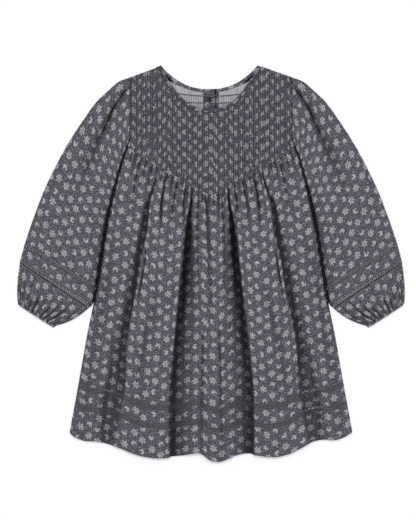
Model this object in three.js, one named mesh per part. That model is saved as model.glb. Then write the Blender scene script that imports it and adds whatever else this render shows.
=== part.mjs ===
// A child's long-sleeved dress with a smocked yoke, laid flat on its back.
// Millimetres. +X is the right of someone looking down at it, +Y runs from the hem to the
// shoulders and +Z points up, away from the surface that the dress lies on.
// The origin lies on that surface, under the middle of the dress.
import * as THREE from "three";

// Driving dimensions of the cloth
const CLOTH = 1.2; // one layer of printed cotton, with its turnings
const SEAM_GAP = 0.3; // between two pieces that are sewn together
const FRONT_FLOOR = CLOTH + SEAM_GAP; // the front layer starts on top of the back layer

// Yoke
const YOKE_HALF = 122; // half the width from armhole to armhole
const SEAM_HALF = 125.7; // half the length of the V-shaped seam, which ends at the side seams
const SHOULDER_Y = 279.5; // shoulder seam at the armhole
const NECK_POINT_Y = 297.3; // shoulder seam at the neck
const NECK_HALF = 72.5; // half the neck's width
const NECK_SHIFT = -1.5; // the neck lies a little to the left of the middle
const FRONT_NECK = { lowest: 230.5, power: 2 };
const BACK_NECK = { lowest: 262, power: 2.35 };
const BINDING = 5; // width of the bias binding round the neck
const BINDING_PROFILE = [
  { out: 0, height: 0.9 },
  { out: 1.5, height: 2.1 },
  { out: 3.8, height: 2.1 },
  { out: BINDING, height: 1.4 },
];
const POINT_Y = 103.8; // the middle of the V-shaped seam
const POINT_ROUND = 6; // how blunt its point is
const POINT_SLOPE = 0.62;

// Smocking: pleats are drawn together in pairs, and the pairs change from row to row
const PLEATS = 50;
const PLEAT_HEIGHT = 1.4;
const SMOCK_ROWS = 10;
const SMOCK_DRAW = 0.9; // how far a pleat leans towards its partner

// Back opening
const PLACKET_HALF = 12;
const PLACKET_LENGTH = 88;
const TAB = { x: -1.5, width: 19.5, top: 262, bottom: 249.5, height: 1.2 };
const BUTTON = { x: -2, y: 245.8, radius: 3, height: 1.8, sides: 20 };

// Skirt
const HEM_HALF = 212.5;
const BACK_HEM = { lowest: -281, rise: 31, power: 2.2 }; // hidden behind the front one
const HEM_DEPTH = 43; // cloth below the lower lace
const LACE = 8; // width of an insertion lace
const BAND = 20; // cloth between the two laces
const SEAM_HEIGHT = 4.3; // the front skirt's height at the yoke seam
const SKIRT_HEIGHT = 14.5; // and at the ridges of its middle folds
const RISE_LENGTH = 0.12; // it comes up over this share of its length
const SIDE_SHARE = 0.5; // share of that height left at the side seams
const EDGE_ROLL = 6; // the front rolls down to the side seam over this width

// Half the front's width at a few heights, from the armhole to the hem
const SIDE = [
  { y: 186, half: YOKE_HALF },
  { y: 176, half: SEAM_HALF },
  { y: 152, half: 134.5 },
  { y: 68, half: 155.5 },
  { y: -52, half: 175 },
  { y: -109, half: 186.5 },
  { y: -181, half: 199.2 },
  { y: -254, half: HEM_HALF },
];

// The front hem drops where a fold stands up and rises between folds
const HEM = [
  { x: -HEM_HALF, y: -254 },
  { x: -206, y: -260.5 },
  { x: -190, y: -266.3 },
  { x: -172, y: -267.5 },
  { x: -154, y: -271.7 },
  { x: -136, y: -277.3 },
  { x: -118, y: -284.8 },
  { x: -100, y: -289.8 },
  { x: -78, y: -292.2 },
  { x: -46, y: -288.6 },
  { x: -19, y: -284.4 },
  { x: -10, y: -288.3 },
  { x: -1, y: -295 },
  { x: 13, y: -297.2 },
  { x: 26, y: -292.7 },
  { x: 39, y: -287.3 },
  { x: 53, y: -285.5 },
  { x: 70, y: -288 },
  { x: 93, y: -290.4 },
  { x: 115, y: -286.4 },
  { x: 133, y: -278.2 },
  { x: 151, y: -268.9 },
  { x: 169, y: -264.6 },
  { x: 186, y: -265.2 },
  { x: 200, y: -260.9 },
  { x: HEM_HALF, y: -254 },
];

// Folds that hang from the yoke seam. Each is a trough: the x of its line at the seam, half way
// down and at the hem, its width at both ends, its depth as a share of the height there, and the
// shares of the skirt's length between which it fades. Each has a mirror image, but for the last.
const FOLDS = [
  { top: -103, middle: -132, hem: -186, width: 2.4, hemWidth: 10, depth: 0.7, fade: [0.08, 0.22] },
  { top: -88, middle: -126, hem: -173, width: 2.2, hemWidth: 9, depth: 0.4, fade: [0.04, 0.15] },
  { top: -77.5, middle: -118, hem: -160, width: 2.8, hemWidth: 11, depth: 0.78, fade: [0.5, 1.8] },
  { top: -71, middle: -106, hem: -145, width: 1.8, hemWidth: 6, depth: 0.5, fade: [0.32, 0.46] },
  { top: -63.5, middle: -92, hem: -127, width: 2.2, hemWidth: 8, depth: 0.7, fade: [0.08, 0.2] },
  { top: -49.5, middle: -72, hem: -98, width: 2.4, hemWidth: 8, depth: 0.7, fade: [0.07, 0.18] },
  { top: -37, middle: -55, hem: -72, width: 2.2, hemWidth: 7, depth: 0.75, fade: [0.12, 0.3] },
  { top: -27.5, middle: -43, hem: -52, width: 3, hemWidth: 9.5, depth: 0.96, fade: [0.8, 2.2] },
  { top: -18.5, middle: -21, hem: -30, width: 1.8, hemWidth: 6, depth: 0.5, fade: [0.25, 0.45] },
  { top: -7.5, middle: -1, hem: -6, width: 2, hemWidth: 6, depth: 0.6, fade: [0.12, 0.4], single: true },
];
const MIDDLE_LINE = { top: 1, middle: 6, hem: 10 }; // no fold, but it keeps the V's point round
const FOLD_START = 0.035; // the folds reach their depth over this share of the length
const FOLD_WIDEN = 0.45; // and their full width over this one
const SKIRT_ROWS = [0, FOLD_START, 0.08, 0.13, 0.22, 0.34, 0.48, 0.64, 0.82, 1];

// Sleeve sections, from the armhole to the cuff. Each is a flattened ring between a point on the
// sleeve's outer edge and one on its inner edge, with the height of its middle. Where the sleeve
// lies along the skirt, its inner edge has no x: it follows the side of the skirt. A name in
// seam ends one piece at that section and starts the next.
const SLEEVE = [
  { outerX: -122.3, outerY: 279.3, innerX: -122.3, innerY: 188, height: 4.7 },
  { outerX: -138.5, outerY: 273, innerY: 181, height: 8 },
  { outerX: -153.5, outerY: 260, innerY: 172, height: 11 },
  { outerX: -172.5, outerY: 241.7, innerY: 158, height: 13 },
  { outerX: -191.8, outerY: 214.8, innerY: 139, height: 14 },
  { outerX: -209.7, outerY: 187.8, innerY: 119, height: 14 },
  { outerX: -225.2, outerY: 160.8, innerY: 98, height: 14 },
  { outerX: -239, outerY: 133.8, innerY: 76, height: 14 },
  { outerX: -251.6, outerY: 106.8, innerY: 52, height: 14 },
  { outerX: -268.7, outerY: 61.5, innerY: 8, height: 14 },
  { outerX: -279, outerY: 31, innerY: -34, height: 14, seam: "upper_lace" },
  { outerX: -281.3, outerY: 23, innerY: -42, height: 14, seam: "band" },
  { outerX: -285.7, outerY: 6.5, innerY: -58.5, height: 13.5, seam: "lower_lace" },
  { outerX: -287.3, outerY: -1.5, innerX: -186.5, innerY: -69.5, height: 13, seam: "end" },
  { outerX: -290.4, outerY: -28, innerX: -204, innerY: -82.5, height: 12 },
  { outerX: -291.2, outerY: -46, innerX: -221, innerY: -90.3, height: 10.5 },
  { outerX: -290.4, outerY: -58.5, innerX: -233, innerY: -94, height: 9, seam: "cuff" },
  { outerX: -289, outerY: -62.8, innerX: -236.2, innerY: -96.8, height: 8.5 },
];
const ROUNDNESS = 0.55; // power of the sine that shapes a section: 1 is an ellipse
const EDGE_HEIGHT = 0.3; // share of its height at which a section is widest
const REST_SHARE = 0.95; // share of its width that lies on the surface
const PLAIN_STEPS = 12; // points over the upper side of a plain section
const CUFF_GATHERS = 15;
const GATHER_DEPTH = 1.7;
const GATHER_SECTIONS = 4; // the cuff's gathers fade over this many sections
const HEAD_SECTIONS = 2; // the armhole's gathers show on this many
const HEAD_GATHER_HEIGHT = 1.2;

const COTTON = { color: 0x55585f, roughness: 0.92, metalness: 0 };
const LACE_YARN = { color: 0x4a4848, roughness: 0.95, metalness: 0 };
const BUTTON_RESIN = { color: 0x17181b, roughness: 0.4, metalness: 0 };

const { lerp: mix, smoothstep, clamp } = THREE.MathUtils;
const steps = (count, from = 0, to = 1) =>
  Array.from({ length: count + 1 }, (_, i) => mix(from, to, i / count));

// A value between the rows of a table, on a smooth curve. The key rises or falls all the way.
function along(table, key, value, at) {
  const rows = table[0][key] < table.at(-1)[key] ? table : table.toReversed();
  const next = clamp(rows.findIndex((row) => row[key] > at), 1, rows.length - 1);
  const i = at >= rows.at(-1)[key] ? rows.length - 2 : next - 1;
  const [a, b] = [rows[i], rows[i + 1]];
  const before = rows[Math.max(i - 1, 0)];
  const after = rows[Math.min(i + 2, rows.length - 1)];
  const span = b[key] - a[key];
  const leave = ((b[value] - before[value]) / (b[key] - before[key])) * span;
  const arrive = ((after[value] - a[value]) / (after[key] - a[key])) * span;
  const t = clamp((at - a[key]) / span, 0, 1);
  const [t2, t3] = [t ** 2, t ** 3];
  const ends = a[value] * (2 * t3 - 3 * t2 + 1) + b[value] * (3 * t2 - 2 * t3);
  return ends + leave * (t3 - 2 * t2 + t) + arrive * (t3 - t2);
}

// The lines that the pieces are cut to
const sideX = (y) => along(SIDE, "y", "half", y);
const hemY = (x) => along(HEM, "x", "y", x);
const backHemY = (x) => BACK_HEM.lowest + BACK_HEM.rise * (Math.abs(x) / HEM_HALF) ** BACK_HEM.power;
const yokeSeamY = (x) => POINT_Y + Math.hypot(POINT_SLOPE * x, POINT_ROUND) - POINT_ROUND;
const shoulderFall = (NECK_POINT_Y - SHOULDER_Y) / (YOKE_HALF - NECK_HALF);
const shoulderY = (x) => NECK_POINT_Y - shoulderFall * (Math.abs(x) - NECK_HALF);

// A point of a neckline, moved out into the cloth. across runs from -1 to 1 between the shoulders.
function neckPoint(neck, across, out) {
  const half = NECK_HALF + out;
  const y = mix(neck.lowest - out, shoulderY(half), Math.abs(across) ** neck.power);
  return [NECK_SHIFT + across * half, y];
}

// The top edge of a yoke at x: its binding's lower edge, or the shoulder seam
function yokeTopY(neck, x) {
  const out = BINDING + SEAM_GAP;
  const across = (x - NECK_SHIFT) / (NECK_HALF + out);
  return Math.abs(across) < 1 ? neckPoint(neck, across, out)[1] : shoulderY(x);
}

// Two triangles between four corners, which are named anticlockwise from outside
const quad = (index, a, b, c, d) => index.push(a, b, c, a, c, d);

// Triangles that close the gap between two rows of points of any length, by the shorter diagonal
function wall(index, points, upper, lower) {
  const apart = (a, b) => {
    if (a === undefined || b === undefined) return Infinity;
    return Math.hypot(...points[a].map((value, axis) => value - points[b][axis]));
  };
  let [i, j] = [0, 0];
  while (i + 1 < upper.length || j + 1 < lower.length) {
    const upperIsNext = apart(upper[i + 1], lower[j]) <= apart(upper[i], lower[j + 1]);
    if (upperIsNext) index.push(upper[i], lower[j], upper[i + 1]);
    else index.push(upper[i], lower[j], lower[j + 1]);
    if (upperIsNext) i += 1;
    else j += 1;
  }
}

function closedGeometry(points, index) {
  const geometry = new THREE.BufferGeometry();
  geometry.setAttribute("position", new THREE.Float32BufferAttribute(points.flat(), 3));
  geometry.setIndex(index);
  geometry.computeVertexNormals();
  return geometry;
}

// A closed solid between an upper and a lower grid of points. They have the same number of
// columns, and run left to right and from the shoulders to the hem. The lower may have fewer rows.
function slab(upper, lower) {
  const columns = upper[0].length;
  const index = [];
  const at = (r, c) => r * columns + c;
  const under = (r, c) => (upper.length + r) * columns + c;
  for (let c = 0; c + 1 < columns; c++) {
    for (let r = 0; r + 1 < upper.length; r++) {
      quad(index, at(r, c), at(r + 1, c), at(r + 1, c + 1), at(r, c + 1));
    }
    for (let r = 0; r + 1 < lower.length; r++) {
      quad(index, under(r, c), under(r, c + 1), under(r + 1, c + 1), under(r + 1, c));
    }
  }
  const points = [...upper.flat(), ...lower.flat()];
  const row = (place, r) => upper[0].map((_, c) => place(r, c));
  const column = (grid, place, c) => grid.map((_, r) => place(r, c));
  wall(index, points, column(upper, at, 0), column(lower, under, 0));
  const right = [column(upper, at, columns - 1), column(lower, under, columns - 1)];
  wall(index, points, right[0].reverse(), right[1].reverse());
  wall(index, points, row(at, 0).reverse(), row(under, 0).reverse());
  wall(index, points, row(at, upper.length - 1), row(under, lower.length - 1));
  return closedGeometry(points, index);
}

// A closed tube wall between outer and inner rings of points, one after another
function tube(outer, inner) {
  const around = outer[0].length;
  const last = outer.length - 1;
  const index = [];
  const out = (r, k) => r * around + (k % around);
  const within = (r, k) => (outer.length + r) * around + (k % around);
  for (let k = 0; k < around; k++) {
    for (let r = 0; r < last; r++) {
      quad(index, out(r, k), out(r + 1, k), out(r + 1, k + 1), out(r, k + 1));
      quad(index, within(r, k), within(r, k + 1), within(r + 1, k + 1), within(r + 1, k));
    }
    quad(index, out(0, k + 1), within(0, k + 1), within(0, k), out(0, k));
    quad(index, out(last, k), within(last, k), within(last, k + 1), out(last, k + 1));
  }
  return closedGeometry([...outer.flat(), ...inner.flat()], index);
}

// A flat plate of one cloth, lying on the surface, from the points of its outline
function plate(outline) {
  const shape = new THREE.Shape(outline.map(([x, y]) => new THREE.Vector2(x, y)));
  return new THREE.ExtrudeGeometry(shape, { depth: CLOTH, bevelEnabled: false });
}

const dress = new THREE.Group();
function add(name, geometry, look) {
  const mesh = new THREE.Mesh(geometry, new THREE.MeshStandardMaterial(look));
  mesh.name = name;
  dress.add(mesh);
}

// The front yoke has a flat inside, and smocked pleats raised on its face
function frontYoke() {
  const line = (down) => {
    const edgeY = mix(SHOULDER_Y, yokeSeamY(SEAM_HALF) + SEAM_GAP / 2, down);
    return steps(2 * PLEATS, -1, 1).map((across) => {
      const top = yokeTopY(FRONT_NECK, across * YOKE_HALF);
      const bottom = yokeSeamY(across * SEAM_HALF) + SEAM_GAP / 2;
      return [across * sideX(edgeY), mix(top, bottom, down)];
    });
  };
  const upper = steps(SMOCK_ROWS).map((down, r) =>
    line(down).map(([x, y], i) => {
      const ridge = i % 2;
      const partner = ((i - 1) / 2 + r) % 2 ? 1 : -1;
      const lean = r % SMOCK_ROWS ? ridge * partner * SMOCK_DRAW : 0;
      return [x + lean, y, FRONT_FLOOR + CLOTH + ridge * PLEAT_HEIGHT];
    }),
  );
  const lower = [0, 1 - 1 / SMOCK_ROWS, 1].map((down) => line(down).map((point) => [...point, FRONT_FLOOR]));
  add("front_yoke", slab(upper, lower), COTTON);
}

// The back yoke lies flat under the front one, with a slot for the placket at its middle
function backYoke() {
  const slot = PLACKET_HALF + SEAM_GAP;
  const slotY = BACK_NECK.lowest - PLACKET_LENGTH - SEAM_GAP;
  const top = (from, to) => steps(12, from, to).map((x) => [x, yokeTopY(BACK_NECK, x)]);
  const seam = steps(24, SEAM_HALF, -SEAM_HALF).map((x) => [x, yokeSeamY(x) + SEAM_GAP / 2]);
  const right = [[slot, slotY], ...top(slot, YOKE_HALF), [YOKE_HALF, SIDE[0].y]];
  const left = [[-YOKE_HALF, SIDE[0].y], ...top(-YOKE_HALF, -slot), [-slot, slotY]];
  add("back_yoke", plate([...right, ...seam, ...left]), COTTON);
}

// The bias binding round the neck: a raised strip in front, and two flat ones up to the opening
function neckBinding() {
  const front = (lift) =>
    BINDING_PROFILE.map(({ out, height }) =>
      steps(22, -1, 1).map((across) => [...neckPoint(FRONT_NECK, across, out), FRONT_FLOOR + lift * height]),
    );
  add("front_neck_binding", slab(front(1), front(0)), COTTON);
  const open = (SEAM_GAP - NECK_SHIFT) / NECK_HALF;
  for (const [side, from, to] of [["left", -1, 0], ["right", open, 1]]) {
    const edge = (out) => steps(10, from, to).map((across) => neckPoint(BACK_NECK, across, out));
    add(`back_neck_binding_${side}`, plate([...edge(BINDING), ...edge(0).reverse()]), COTTON);
  }
}

// One folded strip faces the back opening, under a buttoned tab at the neck
function backOpening() {
  const bottom = BACK_NECK.lowest - PLACKET_LENGTH;
  const top = steps(4, PLACKET_HALF, -PLACKET_HALF).map((x) => [x, yokeTopY(BACK_NECK, x)]);
  add("back_placket", plate([[-PLACKET_HALF, bottom], [PLACKET_HALF, bottom], ...top]), COTTON);
  const tab = new THREE.BoxGeometry(TAB.width, TAB.top - TAB.bottom, TAB.height);
  tab.translate(TAB.x, (TAB.top + TAB.bottom) / 2, FRONT_FLOOR + TAB.height / 2);
  add("back_neck_tab", tab, COTTON);

  const { radius, height } = BUTTON;
  const profile = [[0, 0], [radius, 0], [radius, 0.7 * height], [0.8 * radius, height], [0, height]];
  const button = new THREE.LatheGeometry(profile.map(([r, z]) => new THREE.Vector2(r, z)), BUTTON.sides);
  button.rotateX(Math.PI / 2);
  button.translate(BUTTON.x, BUTTON.y, FRONT_FLOOR);
  add("button", button, BUTTON_RESIN);
}

// Every fold of the front skirt, both of each pair, from left to right, between its two edges
const mirrored = FOLDS.filter((fold) => !fold.single).map((fold) => {
  return { ...fold, top: -fold.top, middle: -fold.middle, hem: -fold.hem };
});
const folds = [...FOLDS, ...mirrored].sort((a, b) => a.top - b.top);
const edges = [-1, 1].map((sign) => ({ top: sign * SEAM_HALF, hem: sign * HEM_HALF, edge: sign }));
const lines = [edges[0], MIDDLE_LINE, ...folds, edges[1]].sort((a, b) => a.top - b.top);

// The x of a line down the skirt. down is 0 at the yoke seam and 1 at the hem.
function lineX(line, down) {
  if (line.edge) return line.edge * sideX(mix(yokeSeamY(line.top), hemY(line.hem), down));
  const bow = 4 * line.middle - 2 * (line.top + line.hem);
  return mix(line.top, line.hem, down) + bow * down * (1 - down);
}

// Height of the front skirt's face
function skirtTop(x, down) {
  const half = lineX(edges[1], down);
  const share = mix(1, SIDE_SHARE, (x / half) ** 2);
  const full = mix(SEAM_HEIGHT, SKIRT_HEIGHT * share, smoothstep(down, 0, RISE_LENGTH));
  const inside = clamp((half - Math.abs(x)) / EDGE_ROLL, 0, 1);
  let rise = Math.sqrt(1 - (1 - inside) ** 2);
  for (const fold of folds) {
    const width = mix(fold.width, fold.hemWidth, smoothstep(down, 0, FOLD_WIDEN));
    const shown = smoothstep(down, 0, FOLD_START) * (1 - smoothstep(down, ...fold.fade));
    rise *= 1 - fold.depth * shown * Math.exp(-(((x - lineX(fold, down)) / width) ** 2));
  }
  const lowest = FRONT_FLOOR + CLOTH;
  return lowest + (full - lowest) * rise;
}

// The inside lies one cloth below the face, measured square to the slope
function skirtUnder(x, down) {
  const reach = 0.6;
  const slope = (skirtTop(x + reach, down) - skirtTop(x - reach, down)) / (2 * reach);
  return Math.max(FRONT_FLOOR, skirtTop(x, down) - CLOTH * Math.hypot(1, slope));
}

// Columns of points run down each fold and edge, with a few between, closer where the edge rolls
const columns = lines.slice(0, -1).flatMap((line, i) => {
  const next = lines[i + 1];
  const rolls = line.edge || next.edge;
  return [0, ...(rolls ? [0.1, 0.3, 0.5, 0.7, 0.9] : [0.3, 0.7])].map((share) => ({
    top: mix(line.top, next.top, share),
    hem: mix(line.hem, next.hem, share),
    x: (down) => mix(lineX(line, down), lineX(next, down), share),
  }));
});
columns.push({ ...edges[1], x: (down) => lineX(edges[1], down) });

// One piece of the front skirt. Each row gives its y between a column's seam and its hem.
function frontPiece(name, rows, look) {
  const grid = (surface) =>
    rows.map((rowY) =>
      columns.map((column) => {
        const seam = yokeSeamY(column.top) - SEAM_GAP / 2;
        const hem = hemY(column.hem);
        const y = rowY(seam, hem);
        const down = (seam - y) / (seam - hem);
        const x = column.x(down);
        return [x, y, surface(x, down)];
      }),
    );
  add(name, slab(grid(skirtTop), grid(skirtUnder)), look);
}

// Both skirts are cut across by their laces, at these heights above the hem
const LOWER_LACE = HEM_DEPTH;
const BAND_START = LOWER_LACE + LACE;
const UPPER_LACE = BAND_START + BAND;
const SKIRT_END = UPPER_LACE + LACE + SEAM_GAP;
const LAYERS = [
  { name: "hem", bottom: 0, top: LOWER_LACE, look: COTTON },
  { name: "lower_lace", bottom: LOWER_LACE + SEAM_GAP, top: BAND_START, look: LACE_YARN },
  { name: "band", bottom: BAND_START + SEAM_GAP, top: UPPER_LACE, look: COTTON },
  { name: "upper_lace", bottom: UPPER_LACE + SEAM_GAP, top: UPPER_LACE + LACE, look: LACE_YARN },
];

function frontSkirt() {
  const rows = SKIRT_ROWS.map((share) => (seam, hem) => mix(seam, hem + SKIRT_END, share));
  frontPiece("front_skirt", rows, COTTON);
  for (const { name, bottom, top, look } of LAYERS) {
    frontPiece(`front_${name}`, [top, bottom].map((above) => (seam, hem) => hem + above), look);
  }
}

// The back skirt and its laces lie flat on the surface, their sides under the front's
function backSkirt() {
  const hemLine = (above) =>
    steps(24, -1, 1).map((share) => {
      const y = backHemY(share * HEM_HALF) + above;
      return [share * sideX(y), y];
    });
  const seam = steps(24, SEAM_HALF, -SEAM_HALF).map((x) => [x, yokeSeamY(x) - SEAM_GAP / 2]);
  const end = hemLine(SKIRT_END);
  const edge = steps(6, seam[0][1], end[0][1]).slice(1, -1).map((y) => [sideX(y), y]);
  const left = edge.map(([x, y]) => [-x, y]);
  add("back_skirt", plate([...seam, ...left, ...end, ...edge.reverse()]), COTTON);
  for (const { name, bottom, top, look } of LAYERS) {
    add(`back_${name}`, plate([...hemLine(bottom), ...hemLine(top).reverse()]), look);
  }
}

// One section of a sleeve as a ring of points, at a distance inside its face. The upper side is
// raised by gathers on the face alone. The lower side rests flat.
function sleeveRing(section, inset, count, raise) {
  const innerX = section.innerX ?? -sideX(section.innerY) - SEAM_GAP;
  const outer = new THREE.Vector2(section.outerX, section.outerY);
  const inner = new THREE.Vector2(innerX, section.innerY);
  const halfWidth = outer.distanceTo(inner) / 2;
  const half = halfWidth - inset;
  const edge = EDGE_HEIGHT * section.height;
  const point = (share, z) => {
    const p = outer.clone().lerp(inner, (1 + (share * half) / halfWidth) / 2);
    return [p.x, p.y, z];
  };
  const over = steps(count, 0, Math.PI).map((turn, i) => {
    const bulge = Math.sin(turn) ** ROUNDNESS;
    return point(-Math.cos(turn), edge + (section.height - inset - edge + raise(i)) * bulge);
  });
  const under = [REST_SHARE, 0.4, -0.4, -REST_SHARE].map((share) => point(share, inset));
  return [...over, ...under];
}

// A sleeve's laces cut it across. Each piece is a tube from one seam to the next.
function sleevePiece(name, first, last, side) {
  const gathered = last > SLEEVE.findIndex(({ seam }) => seam === "end");
  const count = gathered ? 2 * CUFF_GATHERS : PLAIN_STEPS;
  const cuff = SLEEVE.length - 2;
  const rings = (inset) => {
    const list = SLEEVE.slice(first, last + 1).map((section, i) => {
      const strength = clamp(1 - (cuff - first - i) / GATHER_SECTIONS, 0, 1);
      const head = first + i > 0 && first + i <= HEAD_SECTIONS;
      const raise = (k) => {
        if (inset) return 0;
        if (head) return k % 4 === 1 ? HEAD_GATHER_HEIGHT : 0;
        return gathered ? (k % 2 ? 0.5 : -0.5) * GATHER_DEPTH * strength : 0;
      };
      return sleeveRing(section, inset, count, raise);
    });
    if (first) list[0] = list[0].map((point, k) => moveTowards(point, list[1][k], SEAM_GAP));
    return list.map((ring) => (side < 0 ? ring : ring.map(([x, y, z]) => [-x, y, z]).reverse()));
  };
  const look = name.endsWith("lace") ? LACE_YARN : COTTON;
  const node = name ? `sleeve_${name}` : "sleeve";
  add(`${node}_${side < 0 ? "left" : "right"}`, tube(rings(0), rings(CLOTH)), look);
}

function moveTowards(point, target, distance) {
  const from = new THREE.Vector3(...point);
  const to = new THREE.Vector3(...target);
  return from.lerp(to, distance / from.distanceTo(to)).toArray();
}

function sleeve(side) {
  const seams = SLEEVE.flatMap(({ seam }, i) => (seam ? [{ name: seam, at: i }] : []));
  const pieces = [{ name: "", at: 0 }, ...seams, { at: SLEEVE.length - 1 }];
  pieces.slice(0, -1).forEach(({ name, at }, i) => sleevePiece(name, at, pieces[i + 1].at, side));
}

frontYoke();
backYoke();
neckBinding();
backOpening();
frontSkirt();
backSkirt();
sleeve(-1);
sleeve(1);

export default dress;
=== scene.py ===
# %% [markdown]
# # A child's smocked dress, laid flat
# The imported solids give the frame: where every panel lies and how high it stands. This lesson
# dresses them. Each panel becomes a thin sheet of printed cotton on its solid's form, with the
# folds, gathers, smocking, lace and sewing that are too fine for the solids.

# %% Load the frame
import math
import bpy
import numpy as np
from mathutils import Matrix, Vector


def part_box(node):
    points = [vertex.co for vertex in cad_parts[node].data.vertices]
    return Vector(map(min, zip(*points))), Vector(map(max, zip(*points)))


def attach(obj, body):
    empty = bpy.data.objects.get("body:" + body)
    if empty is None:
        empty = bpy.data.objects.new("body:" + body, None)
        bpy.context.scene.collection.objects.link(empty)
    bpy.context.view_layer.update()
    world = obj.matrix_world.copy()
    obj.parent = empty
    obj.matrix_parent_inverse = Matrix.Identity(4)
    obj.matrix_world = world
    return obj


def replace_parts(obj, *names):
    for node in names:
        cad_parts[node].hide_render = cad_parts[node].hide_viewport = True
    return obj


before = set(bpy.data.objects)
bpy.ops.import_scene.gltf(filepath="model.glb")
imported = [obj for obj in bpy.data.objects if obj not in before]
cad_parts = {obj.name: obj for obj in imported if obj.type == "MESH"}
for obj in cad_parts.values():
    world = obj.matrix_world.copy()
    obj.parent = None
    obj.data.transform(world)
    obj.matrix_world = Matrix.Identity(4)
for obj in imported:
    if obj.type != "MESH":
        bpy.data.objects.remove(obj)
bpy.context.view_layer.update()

# %% [markdown]
# ## Camera, floor and light
# The photograph looks straight down with a long lens, so the camera hangs over the dress and one
# picture element spans 1.5 mm of it. A cut-out has no shadow of its own, so a broad soft lamp
# overhead and pale surroundings keep the shadows faint. The lamp darkens the folds only a little,
# and a painted shade darkens them where they are deep.

# %% Camera
MM = 0.001
PHOTO = {"width": 416, "height": 520, "mm": 1.5, "middle_x": 211.0, "middle_y": 263.2}
LENS = 100
SENSOR = 36
SCALE_HEIGHT = 0.008  # m: the height in the dress at which the scale holds

view_height = PHOTO["height"] * PHOTO["mm"] * MM
camera_data = bpy.data.cameras.new("overhead")
camera_data.lens = LENS
camera_data.sensor_width = SENSOR
camera = bpy.data.objects.new("overhead", camera_data)
camera.location = (
    (PHOTO["width"] / 2 - PHOTO["middle_x"]) * PHOTO["mm"] * MM,
    (PHOTO["middle_y"] - PHOTO["height"] / 2) * PHOTO["mm"] * MM,
    SCALE_HEIGHT + view_height * LENS / SENSOR,
)
bpy.context.scene.collection.objects.link(camera)
bpy.context.scene.camera = camera
print("camera height in m:", round(camera.location.z, 3))

# %% Colours and one helper for nodes
bpy.context.scene.view_settings.view_transform = "Standard"


def colour(code):
    """An sRGB hex value as linear red, green, blue and alpha."""
    parts = [int(code[i : i + 2], 16) / 255 for i in (1, 3, 5)]
    return [p / 12.92 if p <= 0.04045 else ((p + 0.055) / 1.055) ** 2.4 for p in parts] + [1.0]


def node(tree, kind, inputs=(), **settings):
    """Adds a node with its settings. inputs maps its sockets to values or to what is linked in."""
    made = tree.nodes.new("ShaderNode" + kind)
    for name, value in settings.items():
        setattr(made, name, value)
    for socket, value in dict(inputs).items():
        if isinstance(value, bpy.types.NodeSocket):
            tree.links.new(value, made.inputs[socket])
        else:
            made.inputs[socket].default_value = value
    return made.outputs


def material(name):
    """An empty material and its tree."""
    made = bpy.data.materials.new(name)
    made.use_nodes = True
    made.node_tree.nodes.clear()
    return made, made.node_tree


# %% Floor and light
def lamp(name, place, size, power):
    """A square soft lamp that faces the dress."""
    data = bpy.data.lights.new(name, "AREA")
    data.size = size
    data.energy = power
    lamp_object = bpy.data.objects.new(name, data)
    lamp_object.location = place
    lamp_object.rotation_euler = (-Vector(place)).to_track_quat("-Z", "Y").to_euler()
    bpy.context.scene.collection.objects.link(lamp_object)


lamp("softbox_over", place=(0.0, 0.3, 2.8), size=1.3, power=64)

world = bpy.data.worlds.new("pale_studio")
world.use_nodes = True
world.node_tree.nodes["Background"].inputs["Color"].default_value = colour("#f4f6fa")
world.node_tree.nodes["Background"].inputs["Strength"].default_value = 0.4
bpy.context.scene.world = world

FLOOR_DROP = 0.0005  # m: keeps the floor from sharing a plane with the cloth
floor_mesh = bpy.data.meshes.new("floor")
floor_mesh.from_pydata([(-4, -4, 0), (4, -4, 0), (4, 4, 0), (-4, 4, 0)], [], [(0, 1, 2, 3)])
floor = bpy.data.objects.new("floor", floor_mesh)
floor.location.z = -FLOOR_DROP
bpy.context.scene.collection.objects.link(floor)
white_paper, tree = material("white_paper_floor")
shader = node(tree, "BsdfPrincipled", {"Base Color": colour("#fbfbfb"), "Roughness": 0.9})
node(tree, "OutputMaterial", {"Surface": shader[0]})
floor_mesh.materials.append(white_paper)

# %% [markdown]
# ## The printed cotton
# The real cloth is a fine plain weave, block printed: slate grey with small pale flowers. A large
# flower and a small one take turns down each column, and the columns stand 13.5 mm apart. An image
# could hold the print, but nodes keep it sharp at any distance and let it follow the grain. The
# sheet's own map gives each point its place on the uncut cloth, in metres. A lattice finds the
# nearest flower, and a distance from the flower's middle that swells and shrinks with the angle
# draws its petals.

# %% The print's sizes in mm
COLUMN = 13.5
ROW = 17.2
COLUMN_SHIFT = 0.27  # of two rows: a column starts about half a row off its neighbour, a half-drop
COLUMN_STRAY = 0.14  # of two rows: how far a column strays from that
BLOOM = {"reach": 4.5, "petal": 1.1, "petals": 6, "ring": 1.9}
BUD = {"reach": 3.9, "bite": 2.1, "aim": 2.3}
FLOWER_DRIFT = 3.0  # how far a flower stands from the middle of its place
FRAY = 3.0  # how far the block's worn edge wanders
SPECK = 2.6  # real dots stand 1.2 mm apart: drawn coarser so that they show
THREAD = 0.7  # real threads are 0.25 mm: drawn coarser so that the weave shows
PRINT_EDGE = {1: -0.5, 2: 0.8}  # Map Range's From values: a motif's edge fades over these mm
SOFTLY = {"interpolation_type": "SMOOTHSTEP"}
FLAT = {"noise_dimensions": "2D"}
CLOTH_MAP = "cloth_in_metres"
DARKEST = 0.04  # share of the colour that the painted shade leaves in the deepest fold
print("flowers stand", COLUMN, "by", ROW, "mm apart")


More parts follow.
